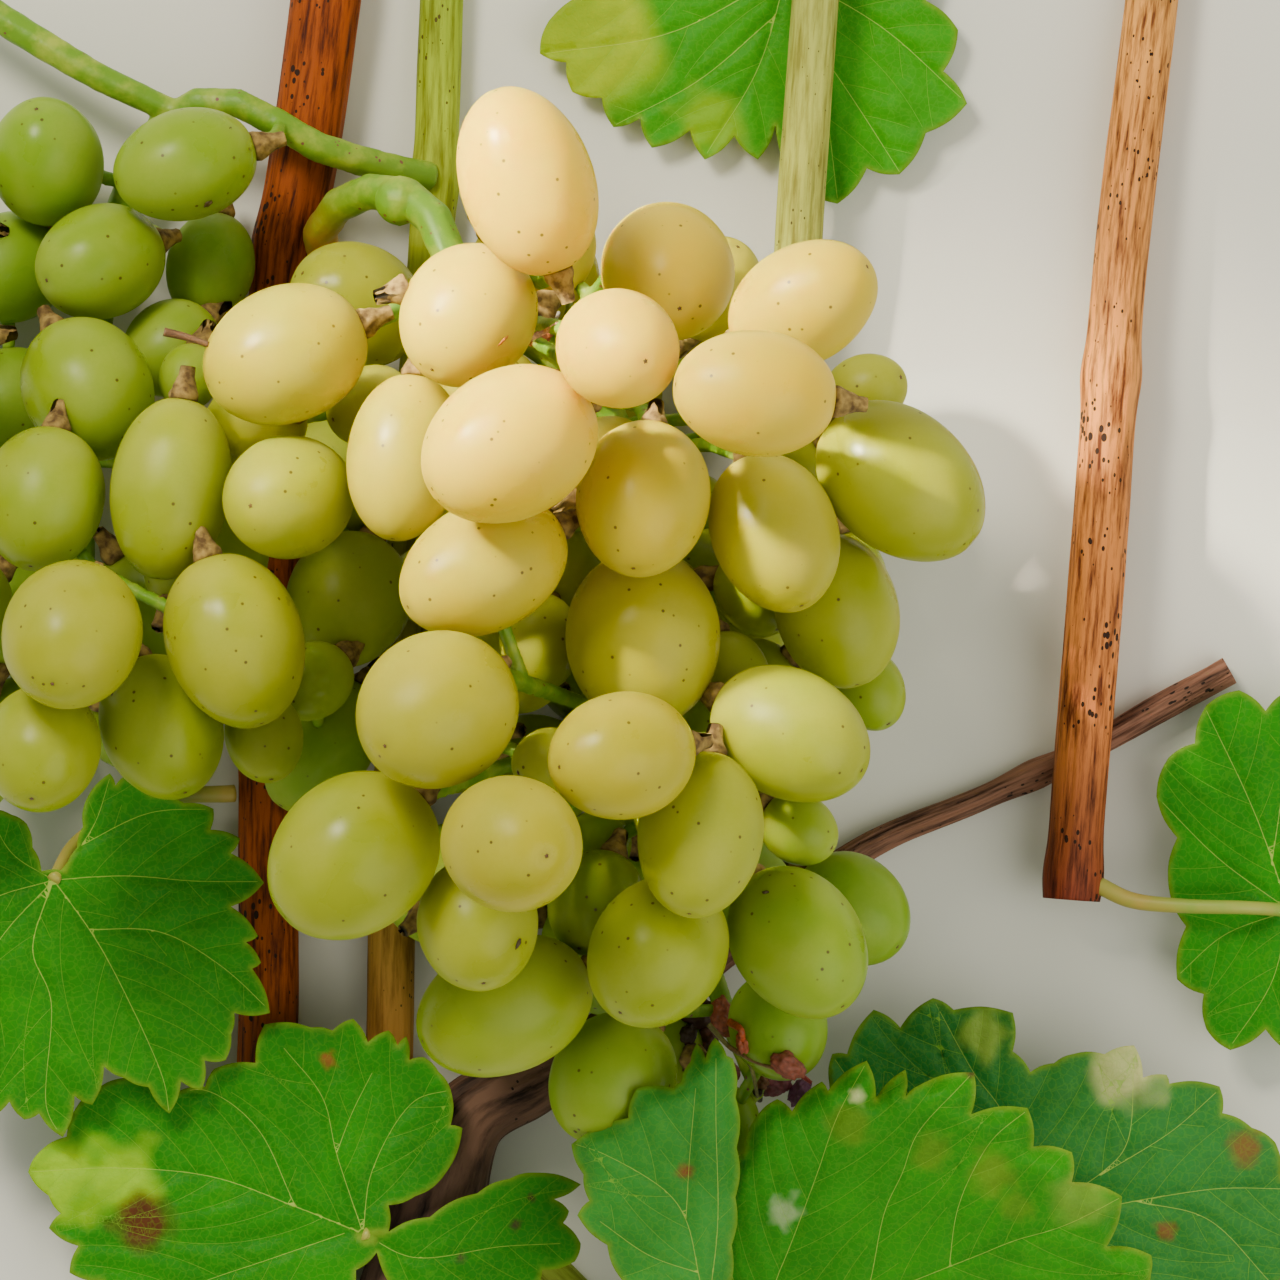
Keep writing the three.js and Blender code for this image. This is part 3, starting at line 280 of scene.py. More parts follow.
# %% [markdown]
# ## Berry skin
#
# A white table grape is a thin waxy skin round clear pulp. Light goes a few millimetres in and comes out
# again warmer, which subsurface scattering gives. The bloom, a powdery wax, pales and dulls the skin, and
# where berries have rubbed together it is gone and the skin is clearer and yellower. Small brown pores dot it
# all over. Which berry is creamy and which is green is a plain colour on the mesh, partly the berry's own
# ripeness and partly painted light: creamiest at the lit top of the front, greener towards the shaded bottom,
# sides and back, so the pattern nodes only vary it.

# %% Skin of the berries
BLOOM_PATCH = 12 * MM  # the size of the clear patches in the bloom
PORE_SPACING = 3.4 * MM
PORE_RADIUS = 0.36 * MM
SCATTER_DEPTH = 6 * MM

berry_skin, tree = new_material("waxy grape skin")
place, own = place_of(tree), painted(tree, "tint")
haze = ranged(tree, cloudy(tree, place, BLOOM_PATCH, 2.5), 0.34, 0.62, 0.02, 0.14, "SMOOTHSTEP")
powder = cloudy(tree, place, 0.9 * MM, 3.0, 0.7)
grain = ranged(tree, powder, 0.3, 0.7, 0.75, 1.1)
bloom = add(tree, "Math", {0: haze, 1: grain}, operation="MULTIPLY").outputs[0]
deep = mixed(tree, 0.35, own, 0xC9B93A, "MULTIPLY")
hazed = mixed(tree, bloom, mixed(tree, 0.45, own, deep), 0xD6D274)
middles = add(tree, "TexVoronoi", {"Vector": place, "Scale": 1 / PORE_SPACING}).outputs["Distance"]
pore_rim = PORE_RADIUS / PORE_SPACING
pore = ranged(tree, middles, 0.6 * pore_rim, pore_rim, 0.85, 0.0)
dotted = mixed(tree, pore, hazed, 0x4E3614)
dull = ranged(tree, bloom, 0.02, 0.14, 0.27, 0.44)
wax = bumped(tree, powder, 0.06, 0.1 * MM)
pulp = (0.8, (0.9, 1.0, 0.3), SCATTER_DEPTH)
finish_material(tree, dotted, dull, wax, pulp, {"IOR": 1.42, "Specular IOR Level": 0.34})

# %% [markdown]
# ## Berries
#
# Each berry is a sphere stretched along its axis and narrowed towards its blossom end, which is how the
# solids were made too. A real one is never quite round: a slow noise moves the skin by a tenth of a
# millimetre, its blossom end has a small dimple, and a wider one lies where the stalk joins. The tint is
# worked out for each point: the berry's own ripeness with painted light on it, creamier where the bunch is
# lit and greener where it lies in shade, and a little yellower towards the stalk.

# %% One berry
EGG = 0.06  # how much narrower the blossom end is
DIMPLE, DIMPLE_REACH = 0.35 * MM, 1.1 * MM  # at the blossom end
SEAT, SEAT_REACH = 0.5 * MM, 2.6 * MM  # where the stalk joins
SWAY, SWAY_LENGTH = 0.1 * MM, 7 * MM  # the slow noise on the skin
GREEN, OLIVE, CREAM = colour(0x7AA406), colour(0xACAA04), colour(0xFFD208)
chance = random.Random(4)


def tint_of(ripe_and_lit):
    """The skin's colour from green at 0, over olive at 0.5, to creamy yellow at 1."""
    low, high, share = (GREEN, OLIVE, 2 * ripe_and_lit) if ripe_and_lit < 0.5 else (OLIVE, CREAM, 2 * ripe_and_lit - 1)
    share = min(max(share, 0.0), 1.0)
    return [a + (b - a) * share for a, b in zip(low, high)]


def ripeness_and_painted_light(name, centre):
    """How creamy a berry is, its own ripeness with painted light on it: the lit top and front of the main
    bunch most, the left bunch and the shaded back least.
    """
    x, y, z = centre / MM - MIDDLE
    own = chance.uniform(-0.06, 0.06)
    # the left bunch's slope to the front is painted light too: creamier at its lit front, greener at its
    # shaded back
    if name.startswith(("berry_l", "left_")):
        return 0.1 + 0.0055 * (z - 30) + own
    # each slope is for one millimetre: up the picture, to the front, and out to the right and left; the
    # slopes are painted light, creamier where the bunch is lit and greener where it is in shade
    return 0.42 + 0.0045 * y + 0.005 * (z - 60) - 0.005 * max(x - 5, 0) - 0.002 * max(-x - 20, 0) + own


def turned(berry):
    """The turn that brings the upright axis of a sphere to a berry's axis."""
    return Vector((0, 0, 1)).rotation_difference(berry[1]).to_matrix()


def skin_point(berry, turn, unit):
    """Where a point of the unit sphere lies on a berry's skin."""
    centre, axis, long, wide = berry
    girth = wide * (1 - EGG * (1 + unit.z) / 2)
    aside = Vector((unit.x, unit.y)).length * girth
    dimple = DIMPLE * math.exp(-((aside / DIMPLE_REACH) ** 2)) if unit.z > 0 else 0.0
    seat = SEAT * math.exp(-((aside / SEAT_REACH) ** 2)) if unit.z < 0 else 0.0
    point = turn @ Vector((unit.x * girth, unit.y * girth, unit.z * long - dimple + seat)) + centre
    return point + (point - centre).normalized() * SWAY * noise.noise(point / SWAY_LENGTH)


def add_berry(bm, berry, name, around, along):
    """A berry's skin in a bmesh, turned to its axis, with its tint."""
    tint = bm.verts.layers.float_color["tint"]
    # the tint holds painted light: creamier where the bunch is lit, greener where it lies in shade
    ripe_and_lit = ripeness_and_painted_light(name, berry[0])
    turn = turned(berry)
    made = bmesh.ops.create_uvsphere(bm, u_segments=around, v_segments=along, radius=1)["verts"]
    for vert in made:
        height = vert.co.z
        point = skin_point(berry, turn, vert.co)
        vert.co = point
        vert[tint] = tint_of(ripe_and_lit + 0.1 * max(-height, 0) ** 2 + 0.05 * noise.noise(point / (9 * MM)))


def tinted_mesh():
    """An empty bmesh whose points can hold a tint."""
    bm = bmesh.new()
    bm.verts.layers.float_color.new("tint")
    return bm


def tinted(bm, made, code):
    """Gives some points of a bmesh one tint."""
    tint = bm.verts.layers.float_color["tint"]
    for vert in made:
        vert[tint] = colour(code)


for name, berry in singles.items():
    bm = tinted_mesh()
    add_berry(bm, berry, name, around=56, along=36)
    finished(bm, "skin_" + name.removeprefix("berry_"), [berry_skin], [name])
for name, (berries, stems) in clusters.items():
    bm = tinted_mesh()
    for berry in berries:
        add_berry(bm, berry, name, around=40, along=26)
    finished(bm, name + "_skins", [berry_skin], [name])
print("berries made:", len(singles) + sum(len(berries) for berries, stems in clusters.values()))


# %% [markdown]
# ## Tubes along a route
#
# Canes, leaf stalks, buds and berry caps are all tubes: a centre line with a radius that changes.
# A flat grid has the right faces already, one column for each step round and one row for each
# step along, so it is rolled up: each grid point is put on its ring of the route. The grid's UV
# map then says how far round and how far along a point of the bark is, in millimetres, which is
# what stretched bark patterns need. The route is the same smooth curve that the solids follow.

# %% Rolling a grid up along a smooth route
def smooth_route(corners, rows):
    """Points at even steps on the centripetal curve through the corners, and its length."""
    points = [2 * corners[0] - corners[1], *corners, 2 * corners[-1] - corners[-2]]
    fine = []
    for a, b, c, d in zip(points, points[1:], points[2:], points[3:]):
        before, span, after = [(q - p).length ** 0.5 for p, q in ((a, b), (b, c), (c, d))]
        leave = ((b - a) / before - (c - a) / (before + span) + (c - b) / span) * span
        arrive = ((c - b) / span - (d - b) / (span + after) + (d - c) / after) * span
        fine.extend(geometry.interpolate_bezier(b, b + leave / 3, c - arrive / 3, c, 40))
    fine = np.array(fine)
    gone = np.concatenate([[0], np.cumsum(np.linalg.norm(np.diff(fine, axis=0), axis=1))])
    steps = np.linspace(0, gone[-1], rows + 1)
    even = np.stack([np.interp(steps, gone, line) for line in fine.T], axis=1)
    return [Vector(point) for point in even], gone[-1]


def tube(bm, corners, girth, around, rows, end_material=0):
    """A closed tube and its end faces; girth(angle, share) is its radius at a share of the route."""
    route, length = smooth_route(corners, rows)
    width = math.tau * girth(0.0, 0.5)
    uv = bm.loops.layers.uv.get("UVMap") or bm.loops.layers.uv.new("UVMap")
    made = bmesh.ops.create_grid(bm, x_segments=around, y_segments=rows, size=0.5, calc_uvs=True)["verts"]
    ways = [(after - before).normalized() for before, after in zip(route, route[1:])]
    ways.append(ways[-1])
    down = Vector((0, 0, -1)) if abs(ways[0].z) < 0.9 else Vector((0, 1, 0))
    frames = []
    for way in ways:
        down = (down - way * down.dot(way)).normalized()
        frames.append((down, way.cross(down)))
    faces = dict.fromkeys(face for vert in made for face in vert.link_faces)
    for face in faces:
        for loop in face.loops:
            share = loop.vert.co + Vector((0.5, 0.5, 0))
            loop[uv].uv = (share.x * width / MM, share.y * length / MM)
    seam = [vert for vert in made if abs(abs(vert.co.x) - 0.5) < 1e-6]
    for vert in made:
        angle, share = math.tau * (vert.co.x + 0.5), vert.co.y + 0.5
        row = round(share * rows)
        first, second = frames[row]
        aside = first * math.cos(angle) + second * math.sin(angle)
        vert.co = route[row] + aside * girth(angle, share)
    bmesh.ops.remove_doubles(bm, verts=seam, dist=1e-7)
    rims = dict.fromkeys(edge for face in faces for edge in face.edges if edge.is_boundary)
    ends = bmesh.ops.holes_fill(bm, edges=list(rims), sides=0)["faces"]
    for end in ends:
        end.material_index = end_material
    bmesh.ops.recalc_face_normals(bm, faces=[*faces, *ends])
    return ends


def between(values, share):
    """The value at a share of the way along a list of evenly spaced values."""
    return float(np.interp(share * (len(values) - 1), range(len(values)), values))


# %% [markdown]
# ## Green stems
#
# A grape bunch hangs on a green woody stem that swells where it branches. The solids give the
# stems' courses with few flat sides. A voxel remesh turns such a solid to one closed skin of small
# even faces, with every branch grown into its stem, and smoothing rounds it. Sweeping round tubes
# would leave each joint a hard line. What smoothing takes off the thin stalks is put back by
# moving the skin outwards a little.

# %% Skin of the stems
SPECK_SPACING = 1.9 * MM

stem_skin, tree = new_material("green bunch stem")
place = place_of(tree)
light = ranged(tree, cloudy(tree, place, 6 * MM, 4.0, 0.6), 0.45, 0.7, 0.0, 0.75)
paler = mixed(tree, light, painted(tree, "tint"), 0xB2BE40)
often = ranged(tree, cloudy(tree, place, 11 * MM, 1.0), 0.5, 0.62, 0.0, 0.2)
dotted = specked(tree, paler, 0x7A4A3A, place, SPECK_SPACING, often)
rough = bumped(tree, cloudy(tree, place, 0.8 * MM, 4.0), 0.35, 0.25 * MM)
finish_material(tree, dotted, 0.48, rough, pulp=(0.25, (1.0, 1.0, 0.4), 1.5 * MM))

# %% Rounding the stems
VOXEL = 0.45 * MM
SWELL = 0.3 * MM  # what goes on top of the smoothed skin
ARCH_SWELL, ARCH_REACH = 0.4 * MM, 16 * MM  # and how much more round the knuckle
LUMP, LUMP_SIZE = 0.12 * MM, 2.5 * MM
YELLOW_REACH = 9 * MM  # how far the yellow of the arch's foot goes
KNUCKLE = spot(-40.5, 74, 31)  # where a side branch was left off the arch of the main stem
ARCH_FOOT = spot(-54, 67, 12)  # where the arch leaves the cane
STEM_GREEN, STEM_YELLOW = Vector(colour(0x6A980C)), Vector(colour(0xE0A020))


def rounded(bm):
    """A stem's solid with one smooth skin: remeshed in small voxels, relaxed, and swelled."""
    body = put("coarse stem", bm)
    skin = body.modifiers.new("skin", "REMESH")
    skin.mode, skin.voxel_size = "VOXEL", VOXEL
    relax = body.modifiers.new("relax", "SMOOTH")
    relax.factor, relax.iterations = 0.5, 9
    made = bmesh.new()
    made.from_mesh(body.evaluated_get(bpy.context.evaluated_depsgraph_get()).to_mesh())
    bpy.data.objects.remove(body)
    made.normal_update()
    tint = made.verts.layers.float_color.new("tint")
    for vert in made.verts:
        from_foot = (vert.co - ARCH_FOOT) / YELLOW_REACH
        vert[tint] = STEM_GREEN.lerp(STEM_YELLOW, math.exp(-(from_foot.length**2)))
    moved = []
    for vert in made.verts:
        near_arch = math.exp(-(((vert.co - KNUCKLE) / ARCH_REACH).length ** 2))
        outward = SWELL + ARCH_SWELL * near_arch + LUMP * noise.noise(vert.co / LUMP_SIZE)
        moved.append((vert, vert.co + vert.normal * outward))
    for vert, point in moved:
        vert.co = point
    return made


for node in ("main_bunch_stem", "left_bunch_stem"):
    bm = merged(node)
    if node.startswith("main"):
        lump = bmesh.ops.create_icosphere(bm, subdivisions=2, radius=3.7 * MM)["verts"]
        bmesh.ops.translate(bm, verts=lump, vec=KNUCKLE)
    bm = rounded(bm)
    print(node, "skin faces", len(bm.faces))
    finished(bm, node + "_skin", [stem_skin], [node])
for name, (berries, stems) in clusters.items():
    finished(rounded(stems), name + "_stems", [stem_skin])

# %% [markdown]
# ## Caps
#
# Where a berry joins its stalk, the stalk widens to a warty brown cap. The caps are short tubes
# that flare towards the berry, all in one piece. One bare cap, whose berry has fallen, points at
# the gap above the front berries.

# %% Caps at the berries' ends
CAP_REACH = [-0.5, 0.4, 1.2, 2.4, 3.8, 5.2]  # how far from the berry, and how wide the cap is there
CAP_GIRTH = [2.5, 2.6, 2.3, 1.75, 1.3, 1.15]

cap_skin, tree = new_material("dry brown berry cap")
cloud = cloudy(tree, place_of(tree), 1.6 * MM, 4.0)
browns = add(tree, "ValToRGB", {0: cloud}, [(0.35, 0x523A16), (0.65, 0xA08444)]).outputs[0]
finish_material(tree, browns, 0.85, bumped(tree, cloud, 0.7, 0.3 * MM))


def add_cap(bm, foot, way):
    """A cap that flares at its foot and runs a few millimetres the given way."""

    def girth(angle, share):
        reach = CAP_REACH[0] + share * (CAP_REACH[-1] - CAP_REACH[0])
        warts = noise.noise(Vector((angle, reach, foot.x / MM)))
        ridges = 1 + 0.07 * math.sin(6 * angle + reach) + 0.1 * warts
        return float(np.interp(reach, CAP_REACH, CAP_GIRTH)) * ridges * MM

    tube(bm, [foot + way * reach * MM for reach in CAP_REACH], girth, around=20, rows=14)


bm = bmesh.new()
whole = [*singles.values(), *[berry for berries, stems in clusters.values() for berry in berries]]
for centre, axis, long, wide in whole:
    add_cap(bm, centre - axis * long, -axis)
add_cap(bm, spot(-39.2, 58.2, 86), Vector((-0.93, -0.25, 0.2)))
finished(bm, "berry_caps", [cap_skin])

# %% [markdown]
# ## Wood
#
# A ripe one-year cane is orange-brown and an unripe one still green, with fine lengthwise grooves,
# small dark pores and, at each node, a swelling. The bark of the old wood is darker and comes off
# in strings. Each piece is a rolled-up grid whose radius carries the grooves, because grooves that
# deep would not look right as bump alone. Its tones, which change along it, are painted on the
# mesh. The sawn ends show pale wood with a brown pith.

# %% Bark
def bark(name, dark, streaks, groove, speck):
    """A bark in its mesh's tint, with streaks of the groove's width and dark specks up to a size."""
    made, tree = new_material(name)
    unrolled = add(tree, "UVMap", uv_map="UVMap").outputs[0]
    long = add(tree, "Mapping", {"Vector": unrolled, "Scale": (1 / groove, 1 / (12 * groove), 1)})
    streak = cloudy(tree, long.outputs[0], 1.0, 6.0, 0.65)
    shade = add(tree, "ValToRGB", {0: streak}, [(0.36, streaks), (0.56, 0xFFFFFF)]).outputs[0]
    wood = mixed(tree, 1.0, painted(tree, "tint"), shade, "MULTIPLY")
    wide = add(tree, "Mapping", {"Vector": unrolled, "Scale": (1 / 1.2, 1 / 1.9, 1)})
    often = ranged(tree, cloudy(tree, unrolled, 14, 3.0), 0.42, 0.66, 0.0, speck)
    dotted = specked(tree, wood, dark, wide.outputs[0], 1.0, often)
    rough = bumped(tree, streak, 0.7, 0.4 * MM)
    finish_material(tree, dotted, 0.66, rough, rest={"Specular IOR Level": 0.25})
    return made


cane_bark = bark("smooth cane bark", 0x2C1508, 0x6C5040, 1.1, 0.4)
green_bark = bark("green cane bark", 0x4E4418, 0xB4AC88, 1.4, 0.24)
old_bark = bark("brown stringy bark", 0x241812, 0x4C4038, 1.8, 0.3)
cut_wood = plain("sawn pale wood", 0xCDB583, 0.8)
pith = plain("brown pith", 0x8B6238, 0.95)

# %% Canes
WOOD = {  # corners, radii from end to end, bark, how far along the nodes are, tones from end to end
    "old_wood": (
        [(-40, -131, 10), (-38, -110, 9.5), (-34, -93, 8.5), (-29, -81, 7), (-15, -73, 5.5), (10, -56, 3.7),
         (38, -35.5, 2.7), (58, -26.8, 2.5), (75, -19, 2.6), (87.6, -12, 2.7), (100, -5, 2.75)],
        [10, 9.4, 8.2, 5.9, 4.6, 3.4, 2.7, 2.4, 2.35, 2.5, 2.6],
        old_bark,
        [20, 62, 118, 165],
        (0x5C463A, 0x86604C, 0xA0705A),
    ),
    "cane_left": (
        [(-50.5, -121, 5.6), (-58, -113, 5.5), (-63, -95, 5.3), (-63, -60, 5.2), (-63, -27, 5.3),
         (-62, 23, 5.5), (-60.5, 60, 5.8), (-56.5, 85, 6.1), (-53.5, 107, 6.3), (-52.5, 116, 6.3)],
        [5.4, 5.2, 5.2, 5.3, 5.5, 5.7, 6, 6.2],
        cane_bark,
        [32, 108, 192],
        (0xA85008, 0xA85000, 0xA04800),
    ),
    "cane_middle": (
        [(-43.3, -92, 4.2), (-42.5, -70, 4.1), (-42, -40, 4), (-40, 0, 4), (-37.5, 40, 4), (-35, 75, 4),
         (-33.8, 105, 4), (-33.5, 116, 4)],
        [4.2, 4.1, 4, 3.9, 3.8],
        green_bark,
        [60, 170],
        (0xC87C40, 0xA8A830, 0xA0BC20),
    ),
    "cane_back": (
        [(20.2, -46, 4.3), (24.5, 0, 4.5), (26, 40, 7), (26.8, 66, 9.9), (28, 85, 10.7), (29.5, 106, 11),
         (30, 114, 11)],
        [4.2, 4.2, 4.1],
        green_bark,
        [70],
        (0xA89A40, 0xB8B84C, 0xB4BC58),
    ),
    "cane_right": (
        [(73, -44, 10.2), (75, -18, 10.35), (77, 6, 9.6), (81.5, 64, 7), (86.5, 106, 5), (87.5, 115, 4.8)],
        [4.7, 4.9, 4.9, 4.8, 4.7, 4.6],
        cane_bark,
        [4, 89],
        (0x8E3C24, 0xE08440, 0xE48C40, 0xEC9C4A, 0xEC9C4A, 0xF0A850),
    ),
}
NODE_SWELL = 0.55 * MM
NODE_LENGTH = 4.5 * MM
GROOVES = [(0.12, 2.2, (0, 0), 30), (0.17, 7, (0, 5), 22), (0.08, 15, (9, 0), 12)]
# each: how deep, how close round the wood, where in the noise, and how long in millimetres
OLD_RELIEF = 2.6  # how much deeper the grooves of the old wood are than a cane's
RING, PITH = 0.1, 0.58  # how far in the pale wood and then the pith begin on a sawn end

for name, (corners, radii, skin, nodes, tones) in WOOD.items():
    route = [spot(*corner) for corner in corners]
    course_points, length = smooth_route(route, 200)
    rugged = OLD_RELIEF if name == "old_wood" else 1.0

    def girth(angle, share):
        """The wood's own radius with its grooves and the swellings of its nodes."""
        gone = share * length
        ring = Vector((math.cos(angle), math.sin(angle), 0))
        relief = sum(
            deep * noise.noise(ring * close + Vector((*shift, gone / (long * MM))))
            for deep, close, shift, long in GROOVES
        )
        swell = sum(NODE_SWELL * math.exp(-(((gone - node * MM) / NODE_LENGTH) ** 2)) for node in nodes)
        return between(radii, share) * MM - 0.15 * rugged * MM + relief * rugged * MM + swell

    bm = tinted_mesh()
    ends = tube(bm, route, girth, around=72, rows=round(length / MM * 1.6), end_material=1)
    tint = bm.verts.layers.float_color["tint"]
    # x + 2 y grows all along every route, so it tells how far along a point is
    steps = [point.x + 2 * point.y for point in course_points]
    for vert in bm.verts:
        share = np.interp(vert.co.x + 2 * vert.co.y, steps, np.linspace(0, 1, len(steps)))
        tone = [between(column, share) for column in zip(*[colour(code) for code in tones])]
        vert[tint] = [part * (1 + 0.25 * noise.noise(vert.co / (16 * MM))) for part in tone]
        vert.co.z = max(vert.co.z, 0)
    for end in ends:
        across = math.sqrt(end.calc_area() / math.pi)
        for number, depth in ((1, RING), (2, PITH)):
            bmesh.ops.inset_individual(bm, faces=[end], thickness=depth * across)
            end.material_index = number
    print(name, round(length / MM), "mm long,", len(bm.faces), "faces")
    finished(bm, name + "_bark", [skin, cut_wood, pith], [name])


# %% [markdown]
# ## Leaves
#
# A vine leaf has some five main veins that fan out from the stalk, side veins that leave them by
# turns at about fifty degrees and run to the teeth, and a fine net between. The blade bulges
# between its veins like a quilt. A flat grid cut to the outline would leave the veins ragged, so
# the mesh is built round them: points along the outline, along every vein and at even spaces
# between, joined by Blender's constrained triangulation, with the outline and the veins as edges
# that it has to keep. The distance to the nearest vein is then kept on each point, and because it
# is exactly nothing on the vein's own row, the shader can draw a line of any width from it.
#
# The outline and the height come off the leaf's solid. The veins are listed, the midrib first, in millimetres
# from the middle of the picture.

# %% Main veins
VEINS = {
    "leaf_left": [
        [(-99, -40.5), (-93, -48.8), (-88.8, -56), (-80.5, -74.3), (-79.5, -80.2)],
        [(-93, -48.8), (-81, -49.3), (-70.8, -55), (-62.3, -62.8)],
        [(-99, -40.5), (-102.5, -52.3), (-99.5, -60.7), (-100.2, -79.2), (-97.7, -84)],
        [(-99, -40.5), (-87, -39.8), (-75, -40.7), (-63.8, -40.8)],
        [(-99, -40.5), (-92.3, -31.5), (-89.3, -22.7)],
        [(-95, -35), (-82.8, -29.2), (-71.8, -28.5)],
        [(-99, -40.5), (-109, -52), (-117, -73)],
        [(-99, -40.5), (-110, -44), (-122, -53)],
        [(-99, -40.5), (-106, -36), (-110, -29)],
    ],
    "leaf_low": [
        [(-46.8, -100.3), (-58.2, -95.8), (-72.2, -90.8), (-88.3, -89.3), (-103.7, -90)],
        [(-58.2, -95.8), (-65, -82.2), (-73.3, -76.2), (-78.5, -76.5)],
        [(-46.8, -100.3), (-51.3, -86.8), (-53.7, -77.3), (-60.2, -69)],
        [(-51.3, -86.8), (-48.7, -80), (-45.3, -73.2)],
        [(-46.8, -100.3), (-45.3, -89.8), (-38.2, -78), (-32, -76)],
        [(-46.8, -100.3), (-38.5, -104.3), (-23.2, -102.5), (-13.5, -102)],
        [(-50, -100.3), (-62.7, -104.7), (-73.3, -108.3), (-81.7, -111.7)],
    ],
    "leaf_folded": [
        [(12, -117.5), (10.8, -111.7), (9.8, -106.2), (7.7, -97.2), (4.5, -92.5), (-6.2, -86),
         (-11.5, -84.3)],
        [(11.3, -113.3), (13, -98.3), (12.7, -80), (12.7, -70)],
        [(9.8, -106.2), (1.7, -103.3), (-6.7, -97.5)],
        [(7.7, -97.2), (8.3, -86.7), (9.3, -75)],
    ],
    "leaf_right": [
        [(19.5, -118.2), (38, -111), (50, -106.2), (57.2, -103.3), (62.8, -101), (71, -98.5), (81.2, -93.5)],
        [(19.5, -118.2), (23.3, -106.7), (25.3, -101.7), (29.5, -90.2), (33.3, -79.3), (38, -70.7)],
        [(38, -111), (39, -106.7), (41.2, -95.7), (44, -89.5), (46.5, -82.8), (55.8, -72.5)],
        [(52, -105.3), (53.2, -96.2), (55.7, -89.5), (59.5, -83.3), (65.2, -78.7)],
        [(19.5, -118.2), (15.8, -108.3), (14.7, -96.7), (17, -86.7)],
        [(38, -111), (53.3, -113.3), (70, -115), (87.5, -118.7)],
        [(19.5, -118.2), (26.7, -126.7), (35, -131.7)],
        [(44, -112), (54, -120), (64, -131)],
    ],
    "leaf_far_right": [
        [(61.7, -100), (81, -95.5), (90.5, -93.8), (98.5, -92.8), (112, -93)],
        [(61.7, -100), (78.2, -90), (82.3, -85.2), (83.5, -69.2)],
        [(61.7, -100), (62, -81.7), (56.2, -72.8), (50, -61.5)],
        [(61.7, -100), (46.7, -90), (33, -71)],
        [(61.7, -100), (43.3, -100), (30, -103)],
        [(61.7, -100), (48.3, -110), (40.8, -116.7)],
        [(66.7, -100), (80, -110), (92.5, -124.2)],
        [(78, -90.5), (90, -83), (98, -76)],
        [(84, -95), (96, -98), (107, -109)],
    ],
    "leaf_top": [
        [(25, 113.3), (20, 97), (11, 82)],
        [(25, 113.3), (8, 109), (-8, 109.5)],
        [(25, 113.3), (5, 103), (-16, 99.5)],
        [(23, 106), (10, 95), (-4, 87.5)],
        [(25, 113.3), (31, 93), (33.5, 75)],
        [(27, 105), (36, 92), (44, 79.5)],
        [(25, 113.3), (41, 104), (55, 91.5)],
        [(25, 113.3), (38, 114), (49, 114)],
    ],
    "leaf_side": [
        [(110, -45.8), (104, -29), (96, -12)],
        [(107, -38), (109, -24), (110, -9.5)],
        [(110, -45.8), (98, -37), (88, -27)],
        [(110, -45.8), (99, -50), (91, -57)],
        [(110, -45.8), (107, -58), (100, -69)],
        [(110, -45.8), (114, -56), (117, -64)],
        [(110, -45.8), (119, -45), (127, -41.5)],
        [(110, -45.8), (117, -30), (121, -14)],
    ],
}
STALKS = {
    "leaf_left": [(-99, -40.5, 25.5), (-95, -34, 19), (-82, -27, 11), (-68.8, -26, 7)],
    "leaf_low": [(-46.8, -100.3, 20), (-43, -102, 16), (-40, -101, 12)],
    "leaf_folded": [(12, -117.5, 43), (8, -119.5, 30), (5, -122, 16), (4, -123.5, 6.8)],
    "leaf_right": [(19.5, -118.2, 32), (20, -122, 24), (22, -128, 13), (23, -131, 6.6)],
    "leaf_far_right": [(61.7, -100, 15), (63, -108, 9), (64, -122, 7.4), (63, -129, 5.8)],
    "leaf_top": [(25, 113.3, 3.2), (27, 112, 4.4), (29, 110, 6.9)],
    "leaf_side": [(110, -45.8, 11), (103, -45.3, 15), (92, -45, 14.5), (83, -44, 12), (77.6, -41.5, 10.8)],
}

# %% The outline of a blade, and what lies inside it
STALK_FACE = 6.5 * MM  # the blade's own faces have a longer edge than this
STALK_REACH = 2.4 * MM
TOOTH_STEP = 0.8  # all sizes on the blade's plane are in millimetres from the picture's middle
BOW = 0.08  # how far a run between two corners bows out, as a share of its length


def flat(point):
    """A point of the frame on the blade's plane."""
    return Vector(point / MM - MIDDLE).to_2d()


def upper_skin(node):
    """The largest patch of a leaf's solid that looks up, without its stalk, as a bmesh, and its rim."""
    bm = merged(node)
    stalk = smooth_route([spot(*corner) for corner in STALKS[node]], 40)[0][8:]

    def of_blade(face):
        """Whether a face looks up and isn't one of the stalk's small faces."""
        centre = face.calc_center_median()
        small = max(edge.calc_length() for edge in face.edges) < STALK_FACE
        of_stalk = small and min((centre - point).length for point in stalk) < STALK_REACH
        return face.normal.z > 0.05 and not of_stalk

    def joins(edge):
        return all(of_blade(face) for face in edge.link_faces)

    def top_area(patch):
        return sum(face.calc_area() for face in patch if face.normal.z > 0.2)

    keep = set(max(patches(bm, joins), key=top_area))
    bmesh.ops.delete(bm, geom=[face for face in bm.faces if face not in keep], context="FACES")
    waiting = dict.fromkeys(edge for edge in bm.edges if edge.is_boundary)
    rims = []
    while waiting:
        edge = waiting.popitem()[0]
        rim = [edge.verts[0], edge.verts[1]]
        while rim[-1] is not rim[0]:
            onward = next((other for other in rim[-1].link_edges if other in waiting), None)
            if onward is None:
                break
            del waiting[onward]
            rim.append(onward.other_vert(rim[-1]))
        rims.append([flat(vert.co) for vert in rim[:-1]])
    return bm, max(rims, key=lambda rim: sum((b - a).length for a, b in zip(rim, rim[1:])))


